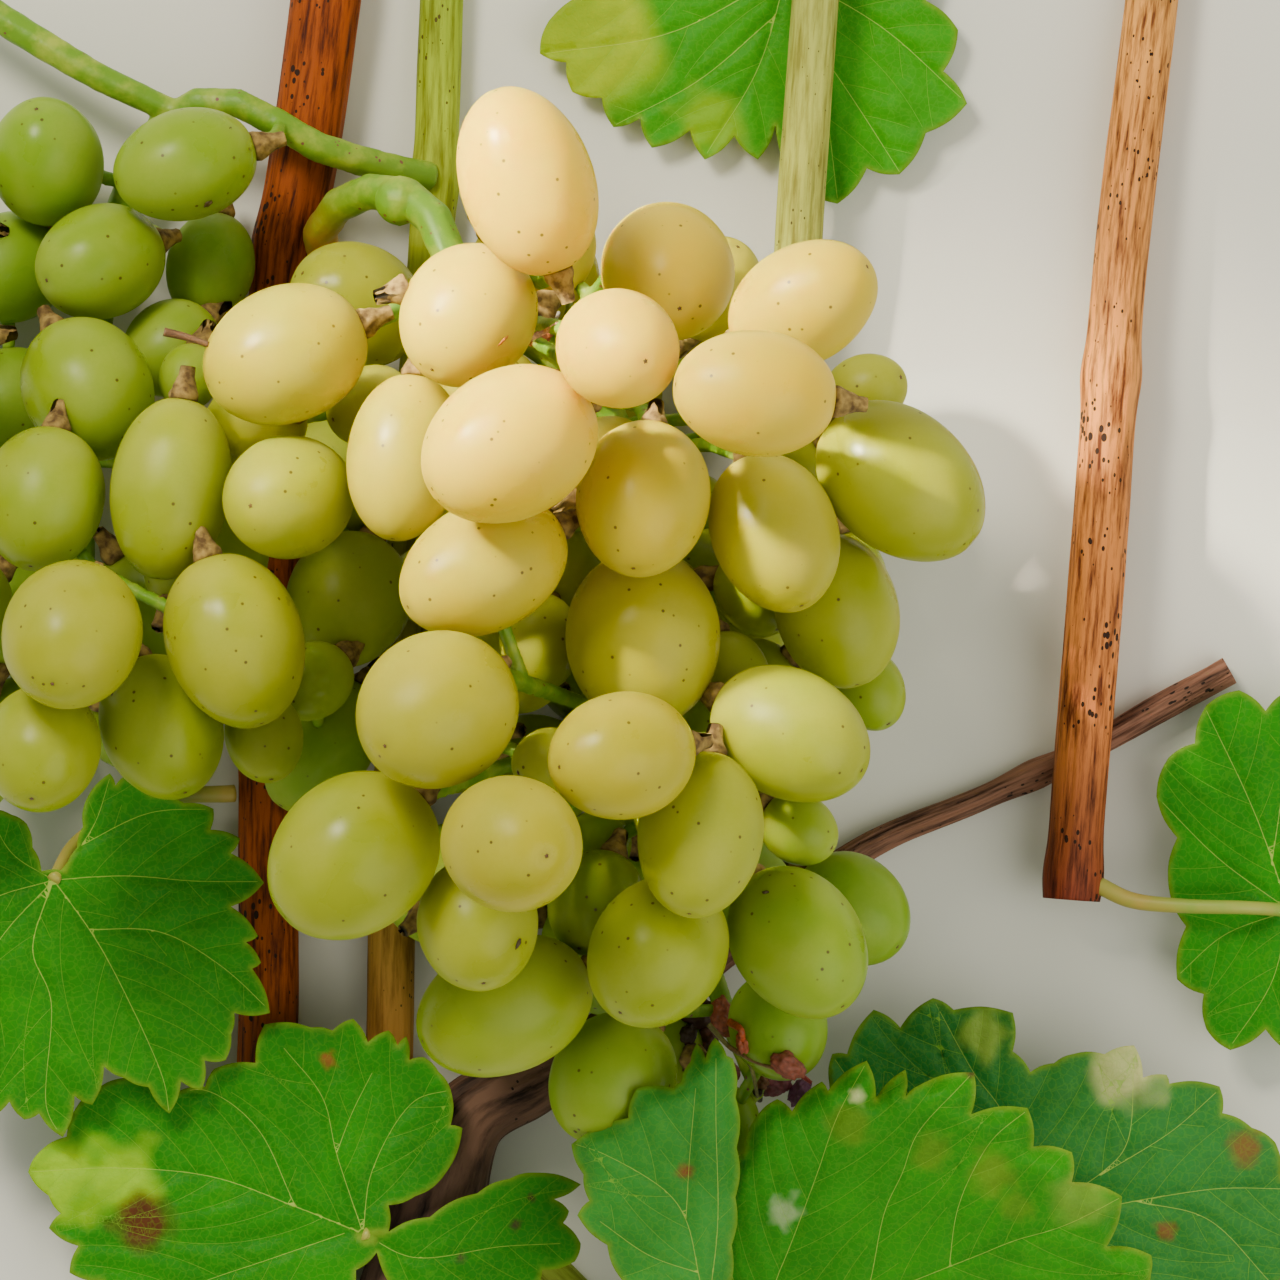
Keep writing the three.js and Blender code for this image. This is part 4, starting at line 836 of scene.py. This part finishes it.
def toothed(rim):
    """The rim with short even steps, each straight run between two corners bowed a little outwards."""
    turning = sum(a.x * b.y - b.x * a.y for a, b in zip(rim, rim[1:] + rim[:1]))
    out = []
    for start, end in zip(rim, rim[1:] + rim[:1]):
        way = end - start
        outward = Vector((way.y, -way.x)) * (BOW if turning > 0 else -BOW)
        steps = max(round(way.length / TOOTH_STEP), 1)
        out.extend(start + way * i / steps + outward * math.sin(math.pi * i / steps) for i in range(steps))
    return out


def inside(rim, points):
    """Which of the points lie inside a closed rim."""
    x, y = np.asarray(points, float).T[:, :, None]
    ax, ay = np.asarray(rim, float).T
    bx, by = np.roll(ax, -1), np.roll(ay, -1)
    run = np.where(by == ay, 1, by - ay)
    crossed = ((ay > y) != (by > y)) & (x < (bx - ax) * (y - ay) / run + ax)
    return crossed.sum(axis=1) % 2 == 1


def spread(points, others):
    """For each point, the distance to the nearest of some others, and which one that is."""
    tree = KDTree(len(others))
    for number, (x, y) in enumerate(others):
        tree.insert((x, y, 0), number)
    tree.balance()
    found = [tree.find((x, y, 0)) for x, y in points]
    return np.array([gap for place, number, gap in found]), np.array([number for place, number, gap in found])


# %% Side veins
SIDE_SPACE = 6.5
SIDE_ANGLE = math.radians(48)
SIDE_BEND = 0.018  # how far a side vein turns back to its main one's direction at each step
SIDE_STEPS = 45
VEIN_ROOM, START_ROOM = 1.6, 0.9  # how far off other veins it stays, and at its start
VEIN_STEP = 0.8


def course(corners):
    """A main vein in even steps."""
    points = [Vector((x, y, 0)) for x, y in corners]
    rough = sum((b - a).length for a, b in zip(points, points[1:]))
    return [point.to_2d() for point in smooth_route(points, round(rough / VEIN_STEP))[0]]


def side_veins(mains, rim):
    """Veins that leave the main ones by turns to both sides, till they meet the rim or a vein."""
    rim = np.array(rim)
    sides = []
    for main in mains:
        taken = np.array([point for other in [*mains, *sides] if other is not main for point in other])
        grown = []
        for order, start in enumerate(range(4, len(main) - 3, round(SIDE_SPACE / 2 / VEIN_STEP))):
            turn = 1 if order % 2 else -1
            way = (main[start + 1] - main[start]).normalized()
            heading = math.atan2(way.y, way.x) + turn * SIDE_ANGLE
            path = [main[start]]
            while len(path) < SIDE_STEPS:
                heading -= turn * SIDE_BEND
                onward = path[-1] + Vector((math.cos(heading), math.sin(heading))) * VEIN_STEP
                room = np.linalg.norm(taken - onward, axis=1).min()
                close = room < (VEIN_ROOM if len(path) > 3 else START_ROOM)
                if close or not inside(rim, [onward])[0]:
                    break
                path.append(onward)
            if len(path) > 5:
                grown.append(path)
        sides.extend(grown)
    return sides


# %% The blade's finish
leaf_skin, tree = new_material("vine leaf blade")
place, own = place_of(tree), painted(tree, "tint")
vein = add(tree, "SeparateColor", {0: painted(tree, "vein")})
shade = ranged(tree, cloudy(tree, place, 12 * MM, 4.0, 0.6), 0.35, 0.65, 0.0, 0.55)
base = mixed(tree, shade, own, mixed(tree, 1.0, own, 0xB4C8A0, "MULTIPLY"))
sway = add(tree, "TexNoise", {"Vector": place, "Scale": 1 / (1.4 * MM), "Detail": 2.0})
apart = add(tree, "VectorMath", {0: sway.outputs["Color"], 1: (1.2 * MM,) * 3}, operation="MULTIPLY")
bent = add(tree, "VectorMath", {0: place, 1: apart.outputs[0]}, operation="ADD").outputs[0]
net = add(tree, "TexVoronoi", {"Vector": bent, "Scale": 1 / (1.3 * MM)}, feature="DISTANCE_TO_EDGE")
net_line = ranged(tree, net.outputs["Distance"], 0.03, 0.1, 0.13, 0.0)
side_line = ranged(tree, vein.outputs[1], 0.0, 0.06, 0.55, 0.0)
main_line = ranged(tree, vein.outputs[0], 0.0, 0.06, 0.8, 0.0)
for line, code in ((net_line, 0x74AC20), (side_line, 0x8CBC34), (main_line, 0xB4CC50)):
    base = mixed(tree, line, base, code)
lines = add(tree, "Math", {0: net_line, 1: side_line}, operation="ADD").outputs[0]
fine = cloudy(tree, place, 0.7 * MM, 3.0)
sunk = add(tree, "Math", {0: fine, 1: lines}, operation="SUBTRACT").outputs[0]
relief = bumped(tree, sunk, 0.45, 0.25 * MM)
finish_material(tree, base, 0.55, relief, (0.12, (0.6, 1.0, 0.2), 0.8 * MM), {"Specular IOR Level": 0.16})

stalk_skin, tree = new_material("yellow-green leaf stalk")
cloud = cloudy(tree, place_of(tree), 9 * MM, 3.0)
tones = add(tree, "ValToRGB", {0: cloud}, [(0.35, 0x94AC40), (0.65, 0xC0A850)]).outputs[0]
finish_material(tree, tones, 0.45)

# %% Tones and marks of each leaf
LEAF_GREEN = {
    "leaf_left": 0x228400,
    "leaf_low": 0x1E8400,
    "leaf_folded": 0x389034,
    "leaf_right": 0x2A8C0C,
    "leaf_far_right": 0x2E7E34,
    "leaf_top": 0x349400,
    "leaf_side": 0x1E8800,
}
MARGIN = 0x8FA828
MARKS = {  # a mark's middle, its radius, its colour and how much of it shows
    "leaf_left": [],
    "leaf_low": [
        (-98, -91, 8, 0xA0CC04, 0.9),
        (-88, -91.5, 8, 0xA0CC04, 0.85),
        (-84, -98.5, 6, 0x5C3216, 1.0),
        (-52.8, -71, 1.6, 0x9A5A28, 0.9),
        (-18.5, -94, 1, 0x4A3A22, 0.9),
        (-21, -98.7, 1.1, 0x4A3A22, 0.9),
        (-30.3, -104.3, 1, 0x4A3A22, 0.9),
    ],
    "leaf_folded": [(7.7, -89, 1.8, 0x8A4A2A, 0.9)],
    "leaf_right": [
        (24.2, -96, 3, 0xC8D4A8, 0.6),
        (36.3, -76.3, 1.6, 0xD8DC9A, 0.8),
        (55.5, -72.5, 1.4, 0x4A3A22, 0.9),
        (74, -94, 6, 0xA8B048, 0.35),
        (35.2, -81.2, 4.5, 0x8A9020, 0.4),
        (48.7, -86, 4, 0x8A8C20, 0.35),
        (59, -89.5, 4.5, 0x8A8C20, 0.4),
        (63, -95, 3.5, 0x8A8C20, 0.3),
    ],
    "leaf_far_right": [
        (82, -72, 8, 0xD6D490, 0.8),
        (89, -100, 2, 0x8A4A2A, 0.8),
        (102.5, -86, 3.5, 0x8A4A2A, 0.7),
        (58, -66.5, 5, 0xA8C04E, 0.7),
    ],
    "leaf_top": [
        (-8, 102, 15, 0xAABC00, 0.85),
        (12, 88, 7, 0x9CB400, 0.5),
    ],
    "leaf_side": [],
}

# %% Building a blade
MESH_STEP = 0.85
ROW_STEP = 0.87 * MESH_STEP  # rows this far apart make even triangles
SHEET = 0.35 * MM
SMOOTHINGS = 14
QUILT, QUILT_REACH = 0.6, 1.5  # how far the blade bulges between its veins, and how soon
FURROW, FURROW_REACH = 0.35, 0.5  # how deep the main veins lie
WAVE, WAVE_LENGTH, WAVE_REACH = 0.8, 9, 5  # slow waves that fade from the rim inwards
SINK = 0.4  # brings the bulges back to the height of the solid
MARGIN_WIDTH = 0.6


def kept_inside(row, rim):
    """The points of a vein that lie clear inside the rim."""
    clear = inside(rim, row) & (spread(row, rim)[0] > 0.5)
    return [point for point, ok in zip(row, clear) if ok]


def blade(node):
    """A leaf's blade with its veins, a thin closed sheet."""
    skin, rim = upper_skin(node)
    tree = BVHTree.FromBMesh(skin)
    rim = toothed(rim)
    mains = [kept_inside(course(corners), rim) for corners in VEINS[node]]
    sides = [kept_inside(side, rim) for side in side_veins(mains, rim)]
    rows = [row for row in [*mains, *sides] if len(row) > 2]
    low, high = np.min(rim, axis=0), np.max(rim, axis=0)
    grid = [
        Vector((x + (MESH_STEP / 2 if row % 2 else 0), y))
        for row, y in enumerate(np.arange(low[1], high[1], ROW_STEP))
        for x in np.arange(low[0], high[0], MESH_STEP)
    ]
    fixed = rim + [point for row in rows for point in row]
    within = inside(rim, grid)
    clear = spread(grid, fixed)[0] > 0.55 * MESH_STEP
    grid = [point for point, ok in zip(grid, within & clear) if ok]
    edges = [(i, (i + 1) % len(rim)) for i in range(len(rim))]
    first = len(rim)
    for row in rows:
        edges.extend((first + i, first + i + 1) for i in range(len(row) - 1))
        first += len(row)
    spots, joins, faces = geometry.delaunay_2d_cdt(fixed + grid, edges, [], 1, 1e-5)[:3]

    bm = bmesh.new()
    tint = bm.verts.layers.float_color.new("tint")
    vein = bm.verts.layers.float_color.new("vein")
    corners = []
    for x, y in spots:
        place = spot(x, y)
        hit = tree.ray_cast(Vector((place.x, place.y, 1)), Vector((0, 0, -1)))[0]
        height = hit.z if hit else tree.find_nearest(Vector((place.x, place.y, MIDDLE.z * MM)))[0].z
        corners.append(bm.verts.new((place.x, place.y, height)))
    made = [bm.faces.new([corners[i] for i in face]) for face in faces]
    on_vein = spread(spots, [point for row in rows for point in row])[0] < 0.01
    painted = [part for part, face in zip(made, faces) if all(on_vein[i] for i in face)]
    middles = bmesh.ops.poke(bm, faces=painted)["verts"]
    spots = [*spots, *[flat(vert.co) for vert in middles]]
    corners.extend(middles)
    for _ in range(SMOOTHINGS):
        bmesh.ops.smooth_vert(bm, verts=bm.verts, factor=0.5, use_axis_z=True)

    longest = max(len(main) for main in mains)
    gaps = []
    for painted_rows in (  # each point of a vein with half the width that is painted there
        [(point, 0.14 + 0.3 * (len(main) - i) / longest) for main in mains for i, point in enumerate(main)],
        [(point, 0.2 - 0.1 * i / len(side)) for side in sides for i, point in enumerate(side)],
    ):
        gap, which = spread(spots, [point for point, half in painted_rows])
        gaps.append(gap - np.array([half for point, half in painted_rows])[which])
    for vert, (x, y), main, side, edge in zip(corners, spots, *gaps, spread(spots, rim)[0]):
        own = Vector(colour(LEAF_GREEN[node]))
        own = own.lerp(Vector(colour(MARGIN)), 0.7 * math.exp(-((edge / MARGIN_WIDTH) ** 2)))
        for mx, my, radius, code, share in MARKS[node]:
            ragged = 1 + 0.5 * noise.noise(Vector((x, y, 0)) / (0.6 * radius))
            away = math.hypot(x - mx, y - my) / radius * ragged
            own = own.lerp(Vector(colour(code)), share * min(max(2 - 2 * away, 0), 1))
        vert[tint] = own
        vert[vein] = (max(main, 0), max(side, 0), 0, 1)
        bulge = QUILT * (1 - math.exp(-max(min(main, side), 0) / QUILT_REACH))
        furrow = FURROW * math.exp(-((max(main, 0) / FURROW_REACH) ** 2))
        wave = WAVE * noise.noise(Vector((x, y, 3)) / WAVE_LENGTH) * math.exp(-edge / WAVE_REACH)
        vert.co.z += (bulge - furrow + wave - SINK) * MM
    rims = [tuple(edge.verts) for edge in bm.edges if edge.is_boundary]
    under = bmesh.ops.duplicate(bm, geom=[*bm.verts, *bm.edges, *bm.faces])["vert_map"]
    bmesh.ops.translate(bm, verts=[under[vert] for vert in corners], vec=(0, 0, -SHEET))
    for first, second in rims:
        bm.faces.new((first, second, under[second], under[first]))
    bmesh.ops.recalc_face_normals(bm, faces=bm.faces)
    print(node, len(mains), "main veins,", len(sides), "side veins,", len(bm.faces), "faces")
    return bm


for node in VEINS:
    bm = blade(node)
    stalk = bmesh.new()
    corners = [spot(*corner) for corner in STALKS[node]]
    tube(stalk, corners, lambda angle, share: (1.15 + 0.35 * share**2) * MM, around=18, rows=60)
    finished(bm, node + "_blade", [leaf_skin], [node])
    finished(stalk, node + "_stalk", [stalk_skin])

# %% The green shoot that carries the lower leaves
shoot = [(-26, -96, 3.6), (-14, -108, 3.4), (4, -124, 3.2), (30, -133, 3), (62, -132, 2.8), (88, -124, 2.5)]
bm = tinted_mesh()
route = [spot(*corner) for corner in shoot]
tube(bm, route, lambda angle, share: between([3.3, 3.0, 2.7, 2.3], share) * MM, around=32, rows=200)
tinted(bm, bm.verts, 0x9AAC3A)
finished(bm, "low_shoot_skin", [green_bark], ["low_shoot"])


# %% [markdown]
# ## Small things
#
# A berry keeps the scar of its flower, a brown star at the blossom end. Some berries never grew:
# they dried to wrinkled wine-brown beads on thin twigs, which stick out between the full ones. The
# scabs and scratches on the full ones are made as small flat beads too. Beads and twigs lie on
# whatever is under them, so their height is found by looking straight down on the solids from
# above the place.

# %% What lies under a place
front_solids = [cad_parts[name] for name in [*single_nodes, *cluster_nodes, "main_bunch_stem"]]
under = bmesh.new()
for solid in front_solids:
    under.from_mesh(solid.data)
under_tree = BVHTree.FromBMesh(under)
under.free()


def laid(x, y, lift):
    """A point in millimetres that lies a little over the fruit that is seen at a place."""
    place = spot(x, y)
    hit = under_tree.ray_cast(Vector((place.x, place.y, 1)), Vector((0, 0, -1)))[0]
    height = hit.z if hit else 20 * MM
    return Vector((place.x, place.y, height + lift * MM))


# %% Scars of the flowers
SCAR_RADIUS = 0.42 * MM

dry_skin, tree = new_material("dry shrivelled skin")
cloud = cloudy(tree, place_of(tree), 0.7 * MM, 4.0)
tones = mixed(tree, ranged(tree, cloud, 0.35, 0.65, 0.0, 0.5), painted(tree, "tint"), 0x2E1A12)
finish_material(tree, tones, 0.55, bumped(tree, cloud, 0.7, 0.25 * MM))

bm = tinted_mesh()
for berry in whole:
    turn = turned(berry)
    scar = bmesh.ops.create_circle(bm, cap_ends=True, radius=SCAR_RADIUS, segments=14)["verts"]
    top = skin_point(berry, turn, Vector((0, 0, 1)))
    for number, vert in enumerate(scar):
        arm = 1.25 if number % 3 == 0 else 0.7
        vert.co = top + turn @ (vert.co * arm) + berry[1] * 0.06 * MM
tinted(bm, bm.verts, 0x6E4A22)
bmesh.ops.solidify(bm, geom=bm.faces[:], thickness=0.08 * MM)
finished(bm, "flower_scars", [dry_skin])

# %% Withered berries and their twigs
TWIG_FALL = 5 * MM  # how far a twig drops from its highest place at most
BEADS = [  # the middle in millimetres, how far over the fruit, length, width, direction in degrees, colour
    (14.2, -63.6, 1.6, 6.6, 4.6, 110, 0x9A4E30),
    (9.4, -63.6, 1.6, 7.2, 5.0, 30, 0x48240E),
    (11.6, -67.6, 1.4, 4.8, 3.4, 120, 0x5E2E1C),
    (8.0, -66.8, 1.0, 3.8, 2.8, 70, 0x3A2010),
    (17.2, -67.6, 1.2, 3.6, 2.2, 100, 0xA8502E),
    (24.7, -71.4, 1.8, 6.0, 4.0, 150, 0x8E4834),
    (23.0, -75.0, 1.6, 5.6, 3.8, 20, 0x7A3440),
    (27.0, -76.4, 1.2, 5.0, 3.2, 60, 0x6A3458),
    (20.0, -74.0, 1.2, 4.0, 2.6, 130, 0x84502A),
    (15.4, -73.4, 1.0, 3.8, 2.8, 80, 0x7A302A),
    (-16.6, 50.8, 0.8, 4.8, 2.2, 25, 0xB0622E),
    (-14.2, 55.0, 1.0, 1.9, 1.4, 60, 0xE4D6C4),
    (-15.8, 54.6, 0.8, 2.4, 0.7, 150, 0xD8C4AE),
    (33.5, 40.8, 0.8, 3.0, 1.8, 120, 0x7A5234),
    (-72.6, 73.8, -0.2, 2.4, 1.5, 40, 0x54400E),
    (-69.2, 85.6, -0.1, 1.6, 1.1, 60, 0x54400E),
    (-73.8, 70.4, -0.1, 1.4, 1.0, 100, 0x54400E),
    (-23.3, 49.2, 0.05, 3.4, 0.7, 40, 0xD07818),
    (-20.3, -50.5, 0.05, 2.0, 0.8, 60, 0x4A3A14),
    (21.3, -42.2, 0.05, 1.8, 0.8, 170, 0x4A3A14),
    (-6, 36.6, 0.6, 2.6, 1.6, 40, 0x7A5234),
]
TWIGS = [  # the places that a twig passes, each with how far it lies over the fruit, and its two radii
    ([(15.2, -64.2, 1.6), (17.0, -65.6, 2.2), (17.0, -69.0, 1.4)], 0.75, 0.4, 0xC0552A),
    ([(11.5, -64.6, 0.6), (14.8, -68.2, 1.0), (18.3, -71.0, 1.0), (19.8, -76.8, 0.6)], 0.45, 0.3, 0x7E7A3C),
    ([(14.8, -68.2, 1.0), (19.0, -70.6, 1.2), (23.0, -72.0, 1.2)], 0.4, 0.35, 0x8A6A3C),
    ([(25.6, -72.4, 1.6), (27.2, -73.2, 1.6), (28.8, -74.4, 1.0)], 0.8, 0.3, 0xB03A34),
    ([(19.8, -76.0, 0.7), (20.2, -77.6, 0.7)], 0.9, 0.5, 0x3A2A1A),
    ([(-18.4, 50.0, 0.6), (-16.0, 51.2, 1.6), (-13.6, 52.6, 1.0)], 0.5, 0.35, 0xE0A890),
    ([(-79.4, 51.4, 1.0), (-76.0, 50.6, 1.4), (-71.8, 49.2, 1.0)], 0.75, 0.45, 0x6E4A26),
    ([(-16.0, 51.2, 0.8), (-12.6, 54.0, 0.4), (-11.8, 57.6, -0.6)], 0.5, 0.7, 0x8CA03A),
]

bm = tinted_mesh()
for x, y, lift, long, wide, lean, code in BEADS:
    middle = laid(x, y, lift)
    bead = bmesh.ops.create_icosphere(bm, subdivisions=4, radius=1)["verts"]
    turn = Matrix.Rotation(math.radians(lean), 3, "Z")
    for vert in bead:
        wrinkle = 1 + 0.3 * noise.noise(vert.co * 2.2 + Vector((x, y, 0))) + 0.12 * noise.noise(vert.co * 6)
        form = Vector((vert.co.x * long / 2, vert.co.y * wide / 2, vert.co.z * wide / 2)) * wrinkle * MM
        vert.co = middle + turn @ form
    tinted(bm, bead, code)
for places, start, end, code in TWIGS:
    before = set(bm.verts)
    corners = [laid(x, y, lift) for x, y, lift in places]
    top = max(corner.z for corner in corners)
    for corner in corners:
        corner.z = max(corner.z, top - TWIG_FALL)
    tube(bm, corners, lambda angle, share: (start + (end - start) * share) * MM, around=12, rows=30)
    tinted(bm, [vert for vert in bm.verts if vert not in before], code)
print("withered bits:", len(BEADS), "beads,", len(TWIGS), "twigs")
finished(bm, "withered_berries", [dry_skin])


# %% [markdown]
# ## Floor, light and camera
#
# The piece lies on a pale floor, under a warm key lamp, a wide soft fill and a pale sky. A narrow
# beam picks out the top berries. The camera hangs straight over the piece, far off with a long
# lens, so that what lies high and what lies low keep the places they have in the picture.

# %% Floor, lamps and camera
PICTURE_WIDTH = 1280 / 6 * MM
CAMERA_HEIGHT = 4000 * MM
REFERENCE_HEIGHT = 75 * MM  # the picture's width is measured at the height of the front berries
SENSOR = 36.0

bm = bmesh.new()
bmesh.ops.create_grid(bm, x_segments=1, y_segments=1, size=2.5)
floor = put("floor", bm)
floor.data.materials.append(plain("pale matt floor", 0xE4E4DE, 0.9))
floor.location.z = -0.2 * MM


def lamp(name, place, size, watts, code, target=(0, 0, 0.05), spread_angle=180):
    """A square soft lamp that looks at a point of the piece."""
    light = bpy.data.lights.new(name, "AREA")
    light.shape, light.size, light.energy = "SQUARE", size, watts
    light.color = colour(code)[:3]
    light.spread = math.radians(spread_angle)
    lamp_object = put(name, light)
    lamp_object.location = place
    lamp_object.rotation_euler = (Vector(place) - Vector(target)).to_track_quat("Z", "Y").to_euler()


lamp("key", (-0.45, 0.7, 0.9), 0.3, 12, 0xFFF6E0)
lamp("beam on the top berries", (-0.5, 0.42, 0.52), 0.04, 0.12, 0xFFF4D8, spot(-8, 48, 85), 11)
lamp("fill", (0.8, -0.4, 1.1), 1.2, 10, 0xFFFCEC)
world = bpy.data.worlds.new("studio")
world.use_nodes = True
world.node_tree.nodes["Background"].inputs["Color"].default_value = colour(0xF6F4E4)
world.node_tree.nodes["Background"].inputs["Strength"].default_value = 0.62
bpy.context.scene.world = world

camera_data = bpy.data.cameras.new("camera")
camera_data.sensor_width = SENSOR
distance = CAMERA_HEIGHT - REFERENCE_HEIGHT
camera_data.lens = SENSOR * distance / PICTURE_WIDTH
camera_data.clip_end = 10
camera = put("camera", camera_data)
camera.location = (MIDDLE.x * MM, MIDDLE.y * MM, CAMERA_HEIGHT)
bpy.context.scene.camera = camera
print("lens", round(camera_data.lens), "mm at", distance, "m")
